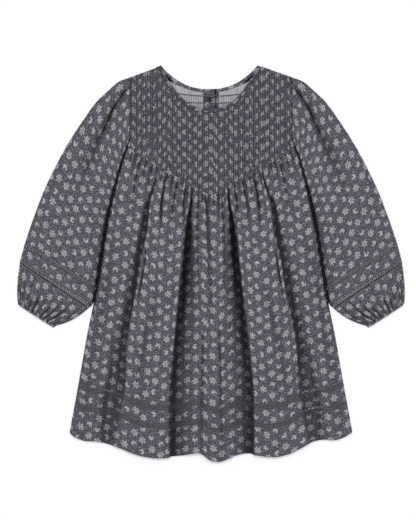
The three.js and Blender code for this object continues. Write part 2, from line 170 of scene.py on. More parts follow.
# %% Where the nearest flower is
def flower_place(tree, cloth):
    """Place from the nearest flower's middle in mm, whether that one is a bud, and its turn."""
    places = node(tree, "VectorMath", {0: cloth, 1: (1 / COLUMN, 1 / ROW, 0)}, operation="MULTIPLY")
    across, along, _ = node(tree, "SeparateXYZ", {0: places[0]})
    column = node(tree, "Math", {0: across}, operation="FLOOR")
    chance = node(tree, "TexWhiteNoise", {"W": column[0]}, noise_dimensions="1D")["Value"]
    offset = node(tree, "Math", {0: column[0], 1: COLUMN_SHIFT}, operation="MULTIPLY")
    offset = node(
        tree, "Math", {0: chance, 1: COLUMN_STRAY, 2: offset[0]}, operation="MULTIPLY_ADD",
    )
    offset = node(tree, "Math", {0: offset[0]}, operation="FRACT")[0]
    moved = node(tree, "Math", {0: offset, 1: 2.0, 2: along}, operation="MULTIPLY_ADD")
    row = node(tree, "Math", {0: moved[0]}, operation="FLOOR")
    place = node(tree, "CombineXYZ", {0: column[0], 1: row[0]})
    chance = node(tree, "TexWhiteNoise", {"Vector": place[0]}, **FLAT)
    bud = node(tree, "Math", {0: row[0], 1: 2.0}, operation="FLOORED_MODULO")
    inside = node(tree, "CombineXYZ", {0: across, 1: moved[0]})
    inside = node(tree, "VectorMath", {0: inside[0]}, operation="FRACTION")
    inside = node(tree, "VectorMath", {0: inside[0], 1: (-0.5, -0.5, 0)}, operation="ADD")
    inside = node(tree, "VectorMath", {0: inside[0], 1: (COLUMN, ROW, 0)}, operation="MULTIPLY")
    drift = node(tree, "VectorMath", {0: chance["Color"], 1: (-0.5, -0.5, -0.5)}, operation="ADD")
    drift = node(
        tree, "VectorMath", {0: drift[0], 1: (FLOWER_DRIFT, FLOWER_DRIFT, 0)}, operation="MULTIPLY",
    )
    inside = node(tree, "VectorMath", {0: inside[0], 1: drift[0]}, operation="SUBTRACT")
    turn = node(tree, "Math", {0: chance["Value"], 1: 2 * math.pi}, operation="MULTIPLY")
    return inside[0], bud[0], turn[0]


# %% The bloom and the bud
def bloom(tree, inside, turn, frayed):
    """A lacy flower: petals round a ring that stays open."""
    x, y, _ = node(tree, "SeparateXYZ", {0: inside})
    angle = node(tree, "Math", {0: y, 1: x}, operation="ARCTAN2")
    swing = node(tree, "Math", {0: angle[0], 1: BLOOM["petals"], 2: turn}, operation="MULTIPLY_ADD")
    wave = node(tree, "Math", {0: swing[0]}, operation="COSINE")
    reach = BLOOM["reach"] + FRAY / 2
    edge = node(tree, "Math", {0: wave[0], 1: BLOOM["petal"], 2: reach}, operation="MULTIPLY_ADD")
    within = node(tree, "Math", {0: edge[0], 1: frayed}, operation="SUBTRACT")
    body = node(tree, "MapRange", {0: within[0], **PRINT_EDGE}, **SOFTLY)
    ring = node(tree, "Math", {0: frayed, 1: BLOOM["ring"] + FRAY / 2}, operation="SUBTRACT")
    ring = node(tree, "Math", {0: ring[0]}, operation="ABSOLUTE")
    ringed = node(tree, "MapRange", {0: ring[0], 1: 0.1, 2: 0.9, 3: 0.3}, **SOFTLY)
    return node(tree, "Math", {0: body[0], 1: ringed[0]}, operation="MULTIPLY")[0]


def bud(tree, inside, turn, frayed):
    """A round bud with a bite out of one side, like two leaves."""
    cosine = node(tree, "Math", {0: turn}, operation="COSINE")
    sine = node(tree, "Math", {0: turn}, operation="SINE")
    aim = node(tree, "CombineXYZ", {0: cosine[0], 1: sine[0]})
    aim = node(tree, "VectorMath", {0: aim[0], "Scale": BUD["aim"]}, operation="SCALE")
    bite = node(tree, "VectorMath", {0: inside, 1: aim[0]}, operation="DISTANCE")["Value"]
    left = node(tree, "MapRange", {0: bite, 1: BUD["bite"] - 0.7, 2: BUD["bite"] + 0.5}, **SOFTLY)
    within = node(tree, "Math", {0: BUD["reach"] + FRAY / 2, 1: frayed}, operation="SUBTRACT")
    body = node(tree, "MapRange", {0: within[0], **PRINT_EDGE}, **SOFTLY)
    return node(tree, "Math", {0: body[0], 1: left[0]}, operation="MULTIPLY")[0]


def flower(tree, cloth):
    """How much of the pale print colour shows, from 0 to 1."""
    inside, is_bud, turn = flower_place(tree, cloth)
    distance = node(tree, "VectorMath", {0: inside}, operation="LENGTH")["Value"]
    fray = node(
        tree, "TexNoise", {"Vector": cloth, "Scale": 0.6, "Detail": 2.0, "Roughness": 0.7}, **FLAT,
    )
    frayed = node(tree, "Math", {0: fray[0], 1: FRAY, 2: distance}, operation="MULTIPLY_ADD")[0]
    blooms, buds = bloom(tree, inside, turn, frayed), bud(tree, inside, turn, frayed)
    drawn = node(tree, "Mix", {0: is_bud, 2: blooms, 3: buds})
    worn = node(tree, "TexNoise", {"Vector": cloth, "Scale": 0.75, "Detail": 1.0}, **FLAT)
    lacy = node(tree, "MapRange", {0: worn[0], 1: 0.38, 2: 0.6, 3: 0.3}, **SOFTLY)
    return node(tree, "Math", {0: drawn[0], 1: lacy[0]}, operation="MULTIPLY")[0]


# %% Dots, weave and the cotton's own shader
def specks(tree, cloth):
    """Tiny dots strewn all over, from 0 to 1."""
    cells = node(tree, "TexVoronoi", {"Vector": cloth, "Scale": 1 / SPECK}, voronoi_dimensions="2D")
    dot = node(tree, "MapRange", {0: cells["Distance"], 1: 0.38, 2: 0.16}, **SOFTLY)
    chance, _, _ = node(tree, "SeparateXYZ", {0: cells["Color"]})
    shown = node(tree, "MapRange", {0: chance, 1: 0.15, 2: 1.0})
    return node(tree, "Math", {0: dot[0], 1: shown[0]}, operation="MULTIPLY")[0]


def weave(tree, cloth):
    """Slubs of the threads both ways, as a height from 0 to 1."""
    warp = node(tree, "VectorMath", {0: cloth, 1: (1 / THREAD, 0.09, 0)}, operation="MULTIPLY")
    warp = node(tree, "TexNoise", {"Vector": warp[0], "Scale": 1.0, "Detail": 1.0}, **FLAT)
    weft = node(tree, "VectorMath", {0: cloth, 1: (0.09, 1 / THREAD, 0)}, operation="MULTIPLY")
    weft = node(tree, "TexNoise", {"Vector": weft[0], "Scale": 1.0, "Detail": 1.0}, **FLAT)
    return node(tree, "Math", {0: warp[0], 1: weft[0]}, operation="ADD")[0]


def printed_cotton(name, ground, pale, dots, show):
    """Cotton dyed to the ground colour, with pale flowers and dots, darkened by the painted shade.
    show is how strongly.
    """
    made, tree = material(name)
    cloth = node(tree, "UVMap", uv_map=CLOTH_MAP)
    cloth = node(tree, "VectorMath", {0: cloth[0], 1: (1000, 1000, 0)}, operation="MULTIPLY")[0]
    threads = weave(tree, cloth)
    flowers = node(tree, "Math", {0: flower(tree, cloth), 1: show}, operation="MULTIPLY")
    strewn = node(tree, "Math", {0: specks(tree, cloth), 1: show}, operation="MULTIPLY")
    dotted = node(tree, "Mix", {0: strewn[0], 6: colour(ground), 7: colour(dots)}, data_type="RGBA")
    dyed = node(tree, "Mix", {0: flowers[0], 6: dotted[2], 7: colour(pale)}, data_type="RGBA")
    uneven = node(
        tree, "TexNoise", {"Vector": cloth, "Scale": 0.45, "Detail": 3.0, "Roughness": 0.75},
        **FLAT,
    )
    mottle = node(tree, "MapRange", {0: uneven[0], 1: 0.3, 2: 0.7, 3: 0.6, 4: 1.4})
    slubs = node(tree, "MapRange", {0: threads, 1: 0.6, 2: 1.4, 3: 0.8, 4: 1.2})
    both = node(tree, "Math", {0: mottle[0], 1: slubs[0]}, operation="MULTIPLY")
    # painted shade: the stored shade darkens the cloth's colour
    painted_shade = node(tree, "Attribute", attribute_name="painted_shade")["Fac"]
    shade = node(tree, "MapRange", {0: painted_shade, 3: 1.0, 4: DARKEST})
    both = node(tree, "Math", {0: both[0], 1: shade[0]}, operation="MULTIPLY")
    shown = node(tree, "VectorMath", {0: dyed[2], "Scale": both[0]}, operation="SCALE")
    bump = node(tree, "Bump", {"Height": threads, "Strength": 0.25, "Distance": 0.0002})
    look = {"Base Color": shown[0], "Normal": bump[0], "Roughness": 0.88, "IOR": 1.47}
    # the painted shade also takes the gloss out of the folds
    gloss = node(tree, "MapRange", {0: painted_shade, 3: 0.1, 4: 0.0})
    look |= {"Specular IOR Level": gloss[0], "Sheen Weight": 0.02, "Sheen Roughness": 0.5}
    shader = node(tree, "BsdfPrincipled", look)
    node(tree, "OutputMaterial", {"Surface": shader[0]})
    return made


cotton_face = printed_cotton("printed_cotton_poplin", "#4a4d53", "#b0b0af", "#868b93", 1.0)
cotton_reverse = printed_cotton("cotton_poplin_reverse", "#a5a5aa", "#8f9196", "#c4c4c8", 0.4)
FACE_UP = [cotton_face, cotton_reverse]
FACE_DOWN = [cotton_reverse, cotton_face]


# %% [markdown]
# ## Yarn and resin
# The lace is cotton yarn, dyed close to the cloth's slate grey and rough, so it stays dull. The
# button is polished polyester resin, near black, and its small glint sets it off from the cloth.

# %% Yarn and resin
def plain_material(name, code, roughness, ior, grain_mm, gloss=0.3):
    """One dyed or moulded colour, broken up by a fine grain and darkened by the painted shade."""
    made, tree = material(name)
    place = node(tree, "TexCoord")["Object"]
    grain = node(tree, "TexNoise", {"Vector": place, "Scale": 1000 / grain_mm, "Detail": 2.0})
    shade = node(tree, "MapRange", {0: grain[0], 1: 0.3, 2: 0.7, 3: 0.8, 4: 1.2})
    # painted shade: the stored shade darkens the colour
    painted_shade = node(tree, "Attribute", attribute_name="painted_shade")["Fac"]
    dimmed = node(tree, "MapRange", {0: painted_shade, 3: 1.0, 4: DARKEST})
    shade = node(tree, "Math", {0: shade[0], 1: dimmed[0]}, operation="MULTIPLY")
    shown = node(tree, "VectorMath", {0: colour(code)[:3], "Scale": shade[0]}, operation="SCALE")
    bump = node(tree, "Bump", {"Height": grain[0], "Strength": 0.2, "Distance": 0.0001})
    look = {
        "Base Color": shown[0], "Normal": bump[0], "Roughness": roughness, "IOR": ior,
        "Specular IOR Level": gloss,
    }
    shader = node(tree, "BsdfPrincipled", look)
    node(tree, "OutputMaterial", {"Surface": shader[0]})
    return made


lace_yarn = plain_material("cotton_lace_yarn", "#686b70", 0.92, 1.47, 0.8, 0.1)
sewing_thread = plain_material("polyester_sewing_thread", "#4c4f55", 0.7, 1.5, 0.6, 0.15)
button_resin = plain_material("polyester_resin_button", "#0b0c0f", 0.42, 1.55, 1.5, 0.12)
print("materials:", [m.name for m in bpy.data.materials])

# %% [markdown]
# ## Sizes and curves
# The panels have to lie where the solids do, so the sizes are the same, in mm. Tables hold the few
# points that shape an edge, and one smooth curve runs through each.

# %% Sizes of the panels
CLOTH = 1.2
SHEET = 0.6  # a sheet's own thickness
SEAM_GAP = 0.3
SNUG = 0.05  # the cloth meets at a seam, where the solids keep the gap
FRONT_FLOOR = CLOTH + SEAM_GAP
YOKE_HALF = 122
SEAM_HALF = 125.7
SHOULDER_Y = 279.5
NECK_POINT_Y = 297.3
NECK_HALF = 72.5
NECK_SHIFT = -2.6
FRONT_NECK = {"lowest": 231.5, "power": 2.4}
BACK_NECK = {"lowest": 262, "power": 2.35}
BINDING = 5
POINT_Y = 103.8
POINT_ROUND = 6
POINT_SLOPE = 0.62
HEM_HALF = 212.5
BACK_HEM = {"lowest": -281, "rise": 31, "power": 2.2}
SEAM_HEIGHT = 4.3
SKIRT_HEIGHT = 14.5
RISE_LENGTH = 0.12
SIDE_SHARE = 0.5
EDGE_ROLL = 6
INSIDE_SHADE = {"front": 0.8, "back": 0.85, "sleeve": 0.85}  # painted shade on the cloth's inner side, where little light reaches
HEM_DEPTH = 43
LACE = 8
BAND = 20

SIDE = [
    (186, 122), (176, 125.7), (152, 134.5), (68, 155.5), (-52, 175), (-109, 186.5), (-181, 199.2),
    (-254, 212.5),
]
HEM = [
    (-212.5, -254), (-206, -260.5), (-190, -266.3), (-172, -267.5), (-154, -271.7), (-136, -277.3),
    (-118, -284.8), (-100, -289.8), (-78, -292.2), (-46, -288.6), (-19, -284.4), (-10, -288.3),
    (-1, -295), (13, -297.2), (26, -292.7), (39, -287.3), (53, -285.5), (70, -288), (93, -290.4),
    (115, -286.4), (133, -278.2), (151, -268.9), (169, -264.6), (186, -265.2), (200, -260.9),
    (212.5, -254),
]

print("the hem's lowest point in mm:", min(y for _, y in HEM))


# %% Curves
def curve(rows, at):
    """A smooth curve through rows of (place, value)."""
    place, value = np.array(sorted(rows), float).T
    at = np.asarray(at, float)
    i = np.clip(np.searchsorted(place, at, side="right") - 1, 0, len(place) - 2)
    before, after = np.maximum(i - 1, 0), np.minimum(i + 2, len(place) - 1)
    span = place[i + 1] - place[i]
    leave = (value[i + 1] - value[before]) / (place[i + 1] - place[before]) * span
    arrive = (value[after] - value[i]) / (place[after] - place[i]) * span
    t = np.clip((at - place[i]) / span, 0, 1)
    ends = value[i] * (2 * t**3 - 3 * t**2 + 1) + value[i + 1] * (3 * t**2 - 2 * t**3)
    return ends + leave * (t**3 - 2 * t**2 + t) + arrive * (t**3 - t**2)


def mix(a, b, share):
    return a + (b - a) * share


def smooth(value, start, end):
    """Rises softly from 0 at start to 1 at end."""
    t = np.clip((value - start) / (end - start), 0, 1)
    return t * t * (3 - 2 * t)


def near(distance, width):
    """1 on a line, fading softly to 0 on both sides of it."""
    return np.exp(-((distance / width) ** 2))


def grid_of(*values):
    """A grid of points or of places on the cloth, from the values of each axis."""
    return np.stack(np.broadcast_arrays(*values), -1)


def ripple(at, spacing, seed):
    """An uneven wave between about -1 and 1, the same on every run."""
    chance = np.random.default_rng(seed)
    parts = [(f, chance.uniform(0, 2 * math.pi)) for f in (0.61, 1.0, 1.57)]
    waves = [np.sin(2 * math.pi * f * np.asarray(at) / spacing + phase) for f, phase in parts]
    return sum(waves) / 2.2


def seam_y(x):
    return POINT_Y + np.hypot(POINT_SLOPE * x, POINT_ROUND) - POINT_ROUND


def shoulder_y(x):
    slope = (NECK_POINT_Y - SHOULDER_Y) / (YOKE_HALF - NECK_HALF)
    return NECK_POINT_Y - slope * (np.abs(x) - NECK_HALF)


def neck_point(neck, across, out):
    """A point of a neckline, moved out into the cloth. across runs from -1 to 1."""
    half = NECK_HALF + out
    y = mix(neck["lowest"] - out, shoulder_y(half), np.abs(across) ** neck["power"])
    return NECK_SHIFT + across * half, y


def yoke_top(neck, x):
    out = BINDING + SEAM_GAP
    across = (x - NECK_SHIFT) / (NECK_HALF + out)
    inside = np.clip(across, -1, 1)
    return np.where(np.abs(across) < 1, neck_point(neck, inside, out)[1], shoulder_y(x))


# %% [markdown]
# ## A sheet of cloth
# Every panel is made the same way: a grid of points for its face, a second one a sheet's thickness
# behind it, and a narrow wall round every edge. Solidify could add the thickness, but a wall made
# by hand ends squarely at a seam and also lines the holes of the lace. The face gets the print and
# the back its paler wrong side. Each point also stores a painted shade, which darkens the colour
# in deep folds, creases and clefts, where the shade falls.

# %% The sheet maker
pieces = {}
cuts = {}
LEAST_WIDE = 10.2  # a narrow strip's cut with its turnings
CUT_FROM = {  # each panel's place on the printed cloth, in mm
    "skirt": (300, 300), "yoke": (426, 300), "back_yoke": (900, 300), "back_skirt": (1300, 300),
    "placket": (500, 310), "tab": (431, 334), "sleeve": (300, 700), "binding": 700,
}


def put_in(name, mesh):
    """An object with this mesh, riding on the one body of the dress."""
    made = bpy.data.objects.new(name, mesh)
    bpy.context.scene.collection.objects.link(made)
    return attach(made, "root")


def shown_cut(face, kept):
    """Width, length and area in mm of what shows of a sheet, as if it were laid out flat."""
    steps_across = np.linalg.norm(np.diff(face, axis=1), axis=2)
    steps_along = np.linalg.norm(np.diff(face, axis=0), axis=2)
    a, b = face[1:, 1:] - face[:-1, :-1], face[1:, :-1] - face[:-1, 1:]
    cells = np.linalg.norm(np.cross(a, b), axis=2) / 2
    width, length = steps_across.sum(1).max(), steps_along.sum(0).max()
    return max(width, LEAST_WIDE), max(length, LEAST_WIDE), (cells * kept).sum()


def sheet(name, face, back, cloth, painted_shade, looks, around=False, kept=None):
    """A thin closed mesh between two grids of points in mm. cloth is where each was when flat."""
    rows, cols = face.shape[:2]
    kept = np.ones((rows - 1, cols - 1), bool) if kept is None else kept
    at = np.arange(rows * cols).reshape(rows, cols)
    under = at + rows * cols
    padded = np.zeros((rows + 1, cols + 1), bool)
    padded[1:-1, 1:-1] = kept
    if around:
        padded[1:-1, 0], padded[1:-1, -1] = kept[:, -1], kept[:, 0]
    r, c = np.nonzero(kept)
    quads = [np.stack([at[r, c], at[r + 1, c], at[r + 1, c + 1], at[r, c + 1]], 1)]
    quads.append(np.stack([under[r, c], under[r, c + 1], under[r + 1, c + 1], under[r + 1, c]], 1))
    walls = [
        ((0, -1), (0, 0), (1, 0)),
        ((0, 1), (1, 1), (0, 1)),
        ((-1, 0), (0, 1), (0, 0)),
        ((1, 0), (1, 0), (1, 1)),
    ]
    for (dr, dc), (ar, ac), (br, bc) in walls:
        r, c = np.nonzero(kept & ~padded[1 + dr : rows + dr, 1 + dc : cols + dc])
        a, b = (r + ar, c + ac), (r + br, c + bc)
        quads.append(np.stack([at[a], under[a], under[b], at[b]], 1))
    which = np.concatenate([np.full(len(q), i == 1) for i, q in enumerate(quads)])
    quads = np.concatenate(quads)
    points = np.concatenate([face.reshape(-1, 3), back.reshape(-1, 3)]) * MM
    joined = np.concatenate([at, under]).copy()
    if around:
        joined[:, -1] = joined[:, 0]
    corners = joined.ravel()[quads]
    used, corners = np.unique(corners, return_inverse=True)
    mesh = bpy.data.meshes.new(name)
    mesh.from_pydata(points[used].tolist(), [], corners.reshape(-1, 4).tolist())
    flat = np.tile(cloth.reshape(-1, 2), (2, 1))[quads.ravel()] * MM
    mesh.uv_layers.new(name=CLOTH_MAP).data.foreach_set("uv", flat.astype(np.float32).ravel())
    # painted shade: how much darker the face and the back are at each point
    sides = painted_shade if isinstance(painted_shade, tuple) else (painted_shade, painted_shade)
    depth = np.concatenate([np.broadcast_to(side, (rows, cols)).ravel() for side in sides])[used]
    stored = mesh.attributes.new("painted_shade", "FLOAT", "POINT")
    stored.data.foreach_set("value", depth.astype(np.float32))
    for look in looks:
        mesh.materials.append(look)
    mesh.polygons.foreach_set("material_index", (which & (len(looks) > 1)).astype(np.int32))
    mesh.polygons.foreach_set("use_smooth", np.ones(len(quads), bool))
    pieces[name] = put_in(name, mesh)
    cuts[name] = shown_cut(face, 1 if "lace" in name else kept)  # a braid is cut holes and all
    print(f"{name}: {2 * len(quads)} triangles")
    return pieces[name]


# %% [markdown]
# ## The front skirt
# The skirt is a straight length of cloth, gathered into the V-shaped seam. Two deep folds on each
# side run all the way to the hem and frame one wide standing pleat, and thinner ones fade on the
# way. Each is a trough along its own line, with one bank steeper than the other, and a painted
# shade darkens it. A gather of small pleats hangs from the seam and dies out unevenly.

# %% The folds
INNER_FOLD = [
    # y, sharp bank, its softness, width of the bottom, far bank, depth, painted shade
    (118, -29.5, 0.8, 1.6, 0.8, 0, 0.6), (104, -30, 0.9, 2.1, 1, 0.3, 0.95),
    (87, -31.5, 1.2, 2.8, 1.6, 0.5, 0.97), (72, -34.5, 2, 4, 3, 0.7, 0.97),
    (50, -38, 2.6, 7.5, 4, 0.8, 0.98), (5, -42, 2.4, 8, 16, 0.9, 0.97),
    (-40, -46.5, 2.2, 8, 22, 0.94, 0.94), (-85, -51, 2.4, 6.5, 25, 0.95, 0.92),
    (-130, -55.5, 2.6, 6, 30, 0.95, 0.88), (-175, -59.5, 3, 4.5, 33, 0.95, 0.85),
    (-205, -61, 3.4, 5, 33, 0.95, 0.84), (-250, -61.5, 3, 5, 32, 0.92, 0.84),
    (-295, -61, 3, 5, 30, 0.9, 0.8),
]
OUTER_FOLD = [
    (142, -79, 0.8, 1.4, 0.8, 0, 0.6), (126, -81.5, 0.9, 1.8, 1.2, 0.3, 0.9),
    (110, -86, 1.2, 2.6, 2, 0.5, 0.8), (92, -92, 1.4, 4.4, 3, 0.6, 0.84),
    (50, -96.5, 1.6, 7.5, 6, 0.7, 0.8), (5, -106, 1.8, 6.5, 11, 0.75, 0.77),
    (-40, -113, 2, 6.5, 14, 0.78, 0.8), (-85, -122, 2.2, 6.5, 16, 0.78, 0.78),
    (-130, -128.5, 2.2, 7.5, 20, 0.78, 0.73), (-175, -130, 2.4, 10, 22, 0.78, 0.62),
    (-205, -134, 3, 12, 24, 0.72, 0.55), (-250, -143, 4, 11, 22, 0.6, 0.48),
    (-285, -150, 4, 10, 20, 0.55, 0.4),
]
THIN_FOLDS = [
    # each a list of y, line, width, painted shade (which also deepens the fold)
    [
        (158, -107, 1.2, 0.3), (148, -108.5, 1.2, 0.85), (124, -113.5, 1.5, 0.75),
        (100, -117, 2, 0.4), (70, -120, 2.5, 0),
    ],
    [(146, -89, 1.1, 0.2), (137, -90.5, 1.1, 0.75), (126, -92.5, 1.4, 0)],
    [
        (134, -67, 1, 0.3), (126, -68.5, 1.1, 0.95), (108, -71.5, 1.2, 0.95), (84, -74.5, 1.5, 0.9),
        (64, -75, 1.8, 0.5), (50, -76, 2, 0),
    ],
    [
        (130, -50, 1, 0.3), (118, -51.5, 1.2, 0.95), (106, -54, 1.3, 0.9), (88, -57, 1.6, 0.7),
        (68, -58.5, 2, 0.4), (40, -60, 2.2, 0),
    ],
    [
        (121, -37, 1, 0.3), (110, -38.5, 1.3, 0.95), (94, -41, 1.5, 0.85), (70, -41, 2, 0.5),
        (50, -41.5, 2, 0),
    ],
    [
        (112, -22, 0.9, 0.3), (98, -19, 1.1, 0.8), (76, -20, 1.4, 0.7), (50, -20.5, 1.6, 0.65),
        (0, -21, 1.8, 0.45), (-60, -19, 2, 0.1),
    ],
    [
        (28, -98.5, 0.9, 0), (8, -99, 0.9, 0.8), (-26, -104, 1, 0.9), (-48, -108, 1.2, 0.5),
        (-70, -112, 1.5, 0),
    ],
    [
        (-105, -143, 3, 0), (-130, -146, 3.5, 0.4), (-175, -151.5, 4.5, 0.62),
        (-205, -157.5, 5, 0.66), (-250, -160.5, 4.5, 0.6), (-275, -162, 4, 0.5),
    ],
    [
        (-20, -78, 2, 0), (-60, -86, 3, 0.3), (-110, -98, 4, 0.34), (-170, -108, 4.5, 0.2),
        (-230, -114, 5, 0),
    ],
    [
        (60, -140, 3, 0), (0, -152, 4, 0.25), (-60, -163, 4, 0.3), (-150, -178, 5, 0.2),
        (-240, -195, 5, 0.1),
    ],
    [
        (-90, -12, 1, 0), (-110, -12, 1.3, 0.55), (-180, -13, 1.6, 0.5), (-240, -14, 2, 0.4),
        (-295, -14, 2, 0.3),
    ],
]
MIDDLE_FOLD = [
    (104, -9, 0.9, 0.3), (96, -8, 1.2, 0.95), (84, -6.5, 1.5, 0.95), (70, -5.5, 1.8, 0.7),
    (45, -4.5, 2.2, 0.62), (10, -2, 2.6, 0.48), (-60, 0, 2.6, 0.3), (-120, 1, 3, 0),
]
THIN_DEPTH = 0.35
THIN_SPREAD = 1.25  # each thin fold is drawn so much wider than its table says
# the right half's folds stand so much further out, by height
LEAN = [(160, -4), (110, -3), (50, -1.5), (-40, 0), (-205, 1.5), (-300, 1.5)]

print("folds on each side:", 2 + len(THIN_FOLDS))


def column_at(table, index, y):
    """One column of a fold's table, at height y."""
    return curve([(row[0], row[index]) for row in table], y)


def wide_fold(table, side, toward, x, y):
    """How far in a wide fold a point lies, its depth and painted shade. toward is 1 if it fades
    inwards.
    """
    lean = curve(LEAN, y) if side > 0 else 0
    out = side * x - lean
    past = (-column_at(table, 1, y) - out) * toward
    soft, bottom, bank = (np.maximum(column_at(table, i, y), 0.5) for i in (2, 3, 4))
    rise = 1 - np.clip((past - bottom) / bank, 0, 1)
    reach = smooth(past, -soft, soft * 0.6) * rise * (0.6 + 0.4 * rise)
    return reach, column_at(table, 5, y), column_at(table, 6, y)


def thin_fold(table, side, x, y):
    lean = curve(LEAN, y) if side > 0 else 0
    past = side * x - lean + column_at(table, 1, y)
    width = THIN_SPREAD * np.maximum(column_at(table, 2, y), 0.5)
    return near(past, width), np.clip(column_at(table, 3, y), 0, 1)


def half_width(down):
    y = mix(seam_y(SEAM_HALF), curve(HEM, HEM_HALF), down)
    return curve(SIDE, y)


def skirt_height(x, y, down):
    """Height of the face with its folds, and the painted shade in them."""
    half = half_width(down)
    full = SKIRT_HEIGHT * mix(1, SIDE_SHARE, (x / half) ** 2)
    full = mix(SEAM_HEIGHT, full, smooth(down, 0, RISE_LENGTH))
    inside = np.clip((half - np.abs(x)) / EDGE_ROLL, 0, 1)
    rise = np.sqrt(1 - (1 - inside) ** 2)
    painted_shade = np.zeros_like(rise)
    for side in (-1, 1):
        for table, toward in ((INNER_FOLD, 1), (OUTER_FOLD, -1)):
            reach, depth, shade = wide_fold(table, side, toward, x, y)
            rise = rise * (1 - depth * reach)
            painted_shade = np.maximum(painted_shade, shade * reach)
        for table in THIN_FOLDS + ([MIDDLE_FOLD] if side < 0 else []):
            reach, shade = thin_fold(table, side, x, y)
            rise = rise * (1 - THIN_DEPTH * shade * reach)
            painted_shade = np.maximum(painted_shade, shade * reach)
    lowest = FRONT_FLOOR + CLOTH
    return lowest + (full - lowest) * rise, painted_shade


# %% The painted shadow in the cleft between a sleeve and the skirt's side
CLEFT_SHADOW = [
    # y, width, painted shadow
    (192, 1.1, 0.65), (178, 1.6, 0.95), (150, 2.1, 1), (127, 2.5, 1), (98, 3, 1), (64, 3.8, 1),
    (0, 4.2, 1), (-35, 3.8, 1), (-62, 3, 0.85), (-76, 2, 0),
]


def painted_cleft_shadow(away, y):
    """Painted shadow beside a body edge. away is the distance from the edge, in mm."""
    width = np.maximum(column_at(CLEFT_SHADOW, 1, y), 0.5)
    return np.clip(column_at(CLEFT_SHADOW, 2, y), 0, 1) * np.exp(-((np.maximum(away, 0) / width) ** 3))


# %% Small gathers under the seam, and soft ripples further down
GATHER_PITCH = 7.6
GATHER_HEIGHT = 0.8
# painted shade in the grooves of the small gathers
GATHER_SHADE = 0.85


def skirt_detail(x, down, height, painted_shade):
    half = half_width(down)
    place = x / half * SEAM_HALF
    length = 0.06 + 0.035 * ripple(place, 31, 3)
    fade = smooth(down, 0.002, 0.008) * near(down, length)
    wave = np.cos(2 * math.pi * (place + 0.9 * ripple(place, 17, 5)) / GATHER_PITCH)
    calm = 1 - (x / half) ** 8
    soft = 0.5 * ripple(place, 23, 8) * smooth(down, 0.05, 0.3) * calm
    height = height + (GATHER_HEIGHT * (wave - 1) * fade + soft) * np.minimum(1, (height - 2.7) / 2)
    return height, np.maximum(painted_shade, GATHER_SHADE * fade * ((1 - wave) / 2) ** 2.5)


def skirt_face(x, y, down):
    """Height of the face and the painted shade at each point, once the details are on it."""
    height, painted_shade = skirt_height(x, y, down)
    height, painted_shade = skirt_detail(x, down, height, painted_shade)
    painted_shade = np.maximum(painted_shade, painted_cleft_shadow(half_width(down) - np.abs(x), y))
    return np.maximum(height, FRONT_FLOOR + SHEET + 0.1), painted_shade


# %% Where each point was on the flat cloth
FLARE = 0.4  # share of the skirt's widening that its side seams give, and the folds hide the rest
TAKES = [(INNER_FOLD, 0.34, 1), (OUTER_FOLD, 0.3, -1)] + [
    (table, 0.36 / 6, 1) for table in THIN_FOLDS[:6]
]


def skirt_cloth(x, y, down, above):
    """The print keeps its pitch between folds, and each fold swallows some of the cloth."""
    hidden = (1 - FLARE) * (HEM_HALF - half_width(down))
    across = x.copy()
    for side in (-1, 1):
        for table, share, toward in TAKES:
            middle = -column_at(table, 1, y) + (curve(LEAN, y) if side > 0 else 0)
            across += hidden * share * 0.5 * np.tanh((x - side * middle) / 4)
    return grid_of(across + CUT_FROM["skirt"][0], above + CUT_FROM["skirt"][1])


# %% The front panels
LOWER_LACE = HEM_DEPTH
BAND_START = LOWER_LACE + LACE
UPPER_LACE = BAND_START + BAND
SKIRT_END = UPPER_LACE + LACE + SEAM_GAP


def front_grid(shares, row_y):
    """Points of a front panel: x, y, down, and height above the hem. row_y gives each row's y."""
    top, hem_x = shares * SEAM_HALF, shares * HEM_HALF
    seam, hem = seam_y(top) - SNUG / 2, curve(HEM, hem_x)
    y = row_y(seam, hem)
    down = (seam - y) / (seam - hem)
    return shares * half_width(down), y, down, y - hem


def front_panel(name, shares, row_y, looks, kept=None, relief=0.0):
    x, y, down, above = front_grid(shares[None, :], row_y)
    height, painted_shade = skirt_face(x, y, down)
    face = grid_of(x, y, height + relief)
    slope = np.gradient(height, axis=1) / np.maximum(np.gradient(x, axis=1), 0.1)
    back = grid_of(x, y, np.maximum(height - SHEET * np.hypot(1, slope), FRONT_FLOOR))
    made = sheet(
        f"{name}_cloth", face, back, skirt_cloth(x, y, down, above),
        (painted_shade, INSIDE_SHADE["front"]), looks, kept=kept,
    )
    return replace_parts(made, name)


skirt_shares = np.linspace(-1, 1, 401)
skirt_rows = np.concatenate([np.linspace(0, 0.12, 24), np.linspace(0.12, 1, 72)[1:]])[:, None]
front_panel(
    "front_skirt", skirt_shares, lambda seam, hem: mix(seam, hem + SKIRT_END, skirt_rows),
    FACE_UP,
)
for name, bottom, top, count in (
    ("front_hem", 0, LOWER_LACE, 18), ("front_band", BAND_START + SEAM_GAP, UPPER_LACE, 9),
):
    heights = np.linspace(top, bottom, count)[:, None]
    front_panel(name, skirt_shares, lambda seam, hem: hem + heights, FACE_UP)

# %% [markdown]
# ## Insertion lace
# The lace is a braid 8 mm wide, sewn between two cut edges: a wavy cord in the middle, held by
# bars to a firm edge on either side. Transparency could cut the holes, but here the grid simply
# leaves them out, so light and shadow pass through them as through the real one.

# %% The lace pattern
LACE_REPEAT = 6.2
LACE_STEP = 0.55
LACE_WAVE = 0.7
LACE_CORD = 0.4
LACE_BAR = 0.15  # half a bar's width, as a share of the bars' spacing
LACE_EDGE = 0.95
HIDDEN_EDGE = 2.3  # firmer on the side below, so that the floor doesn't show through both


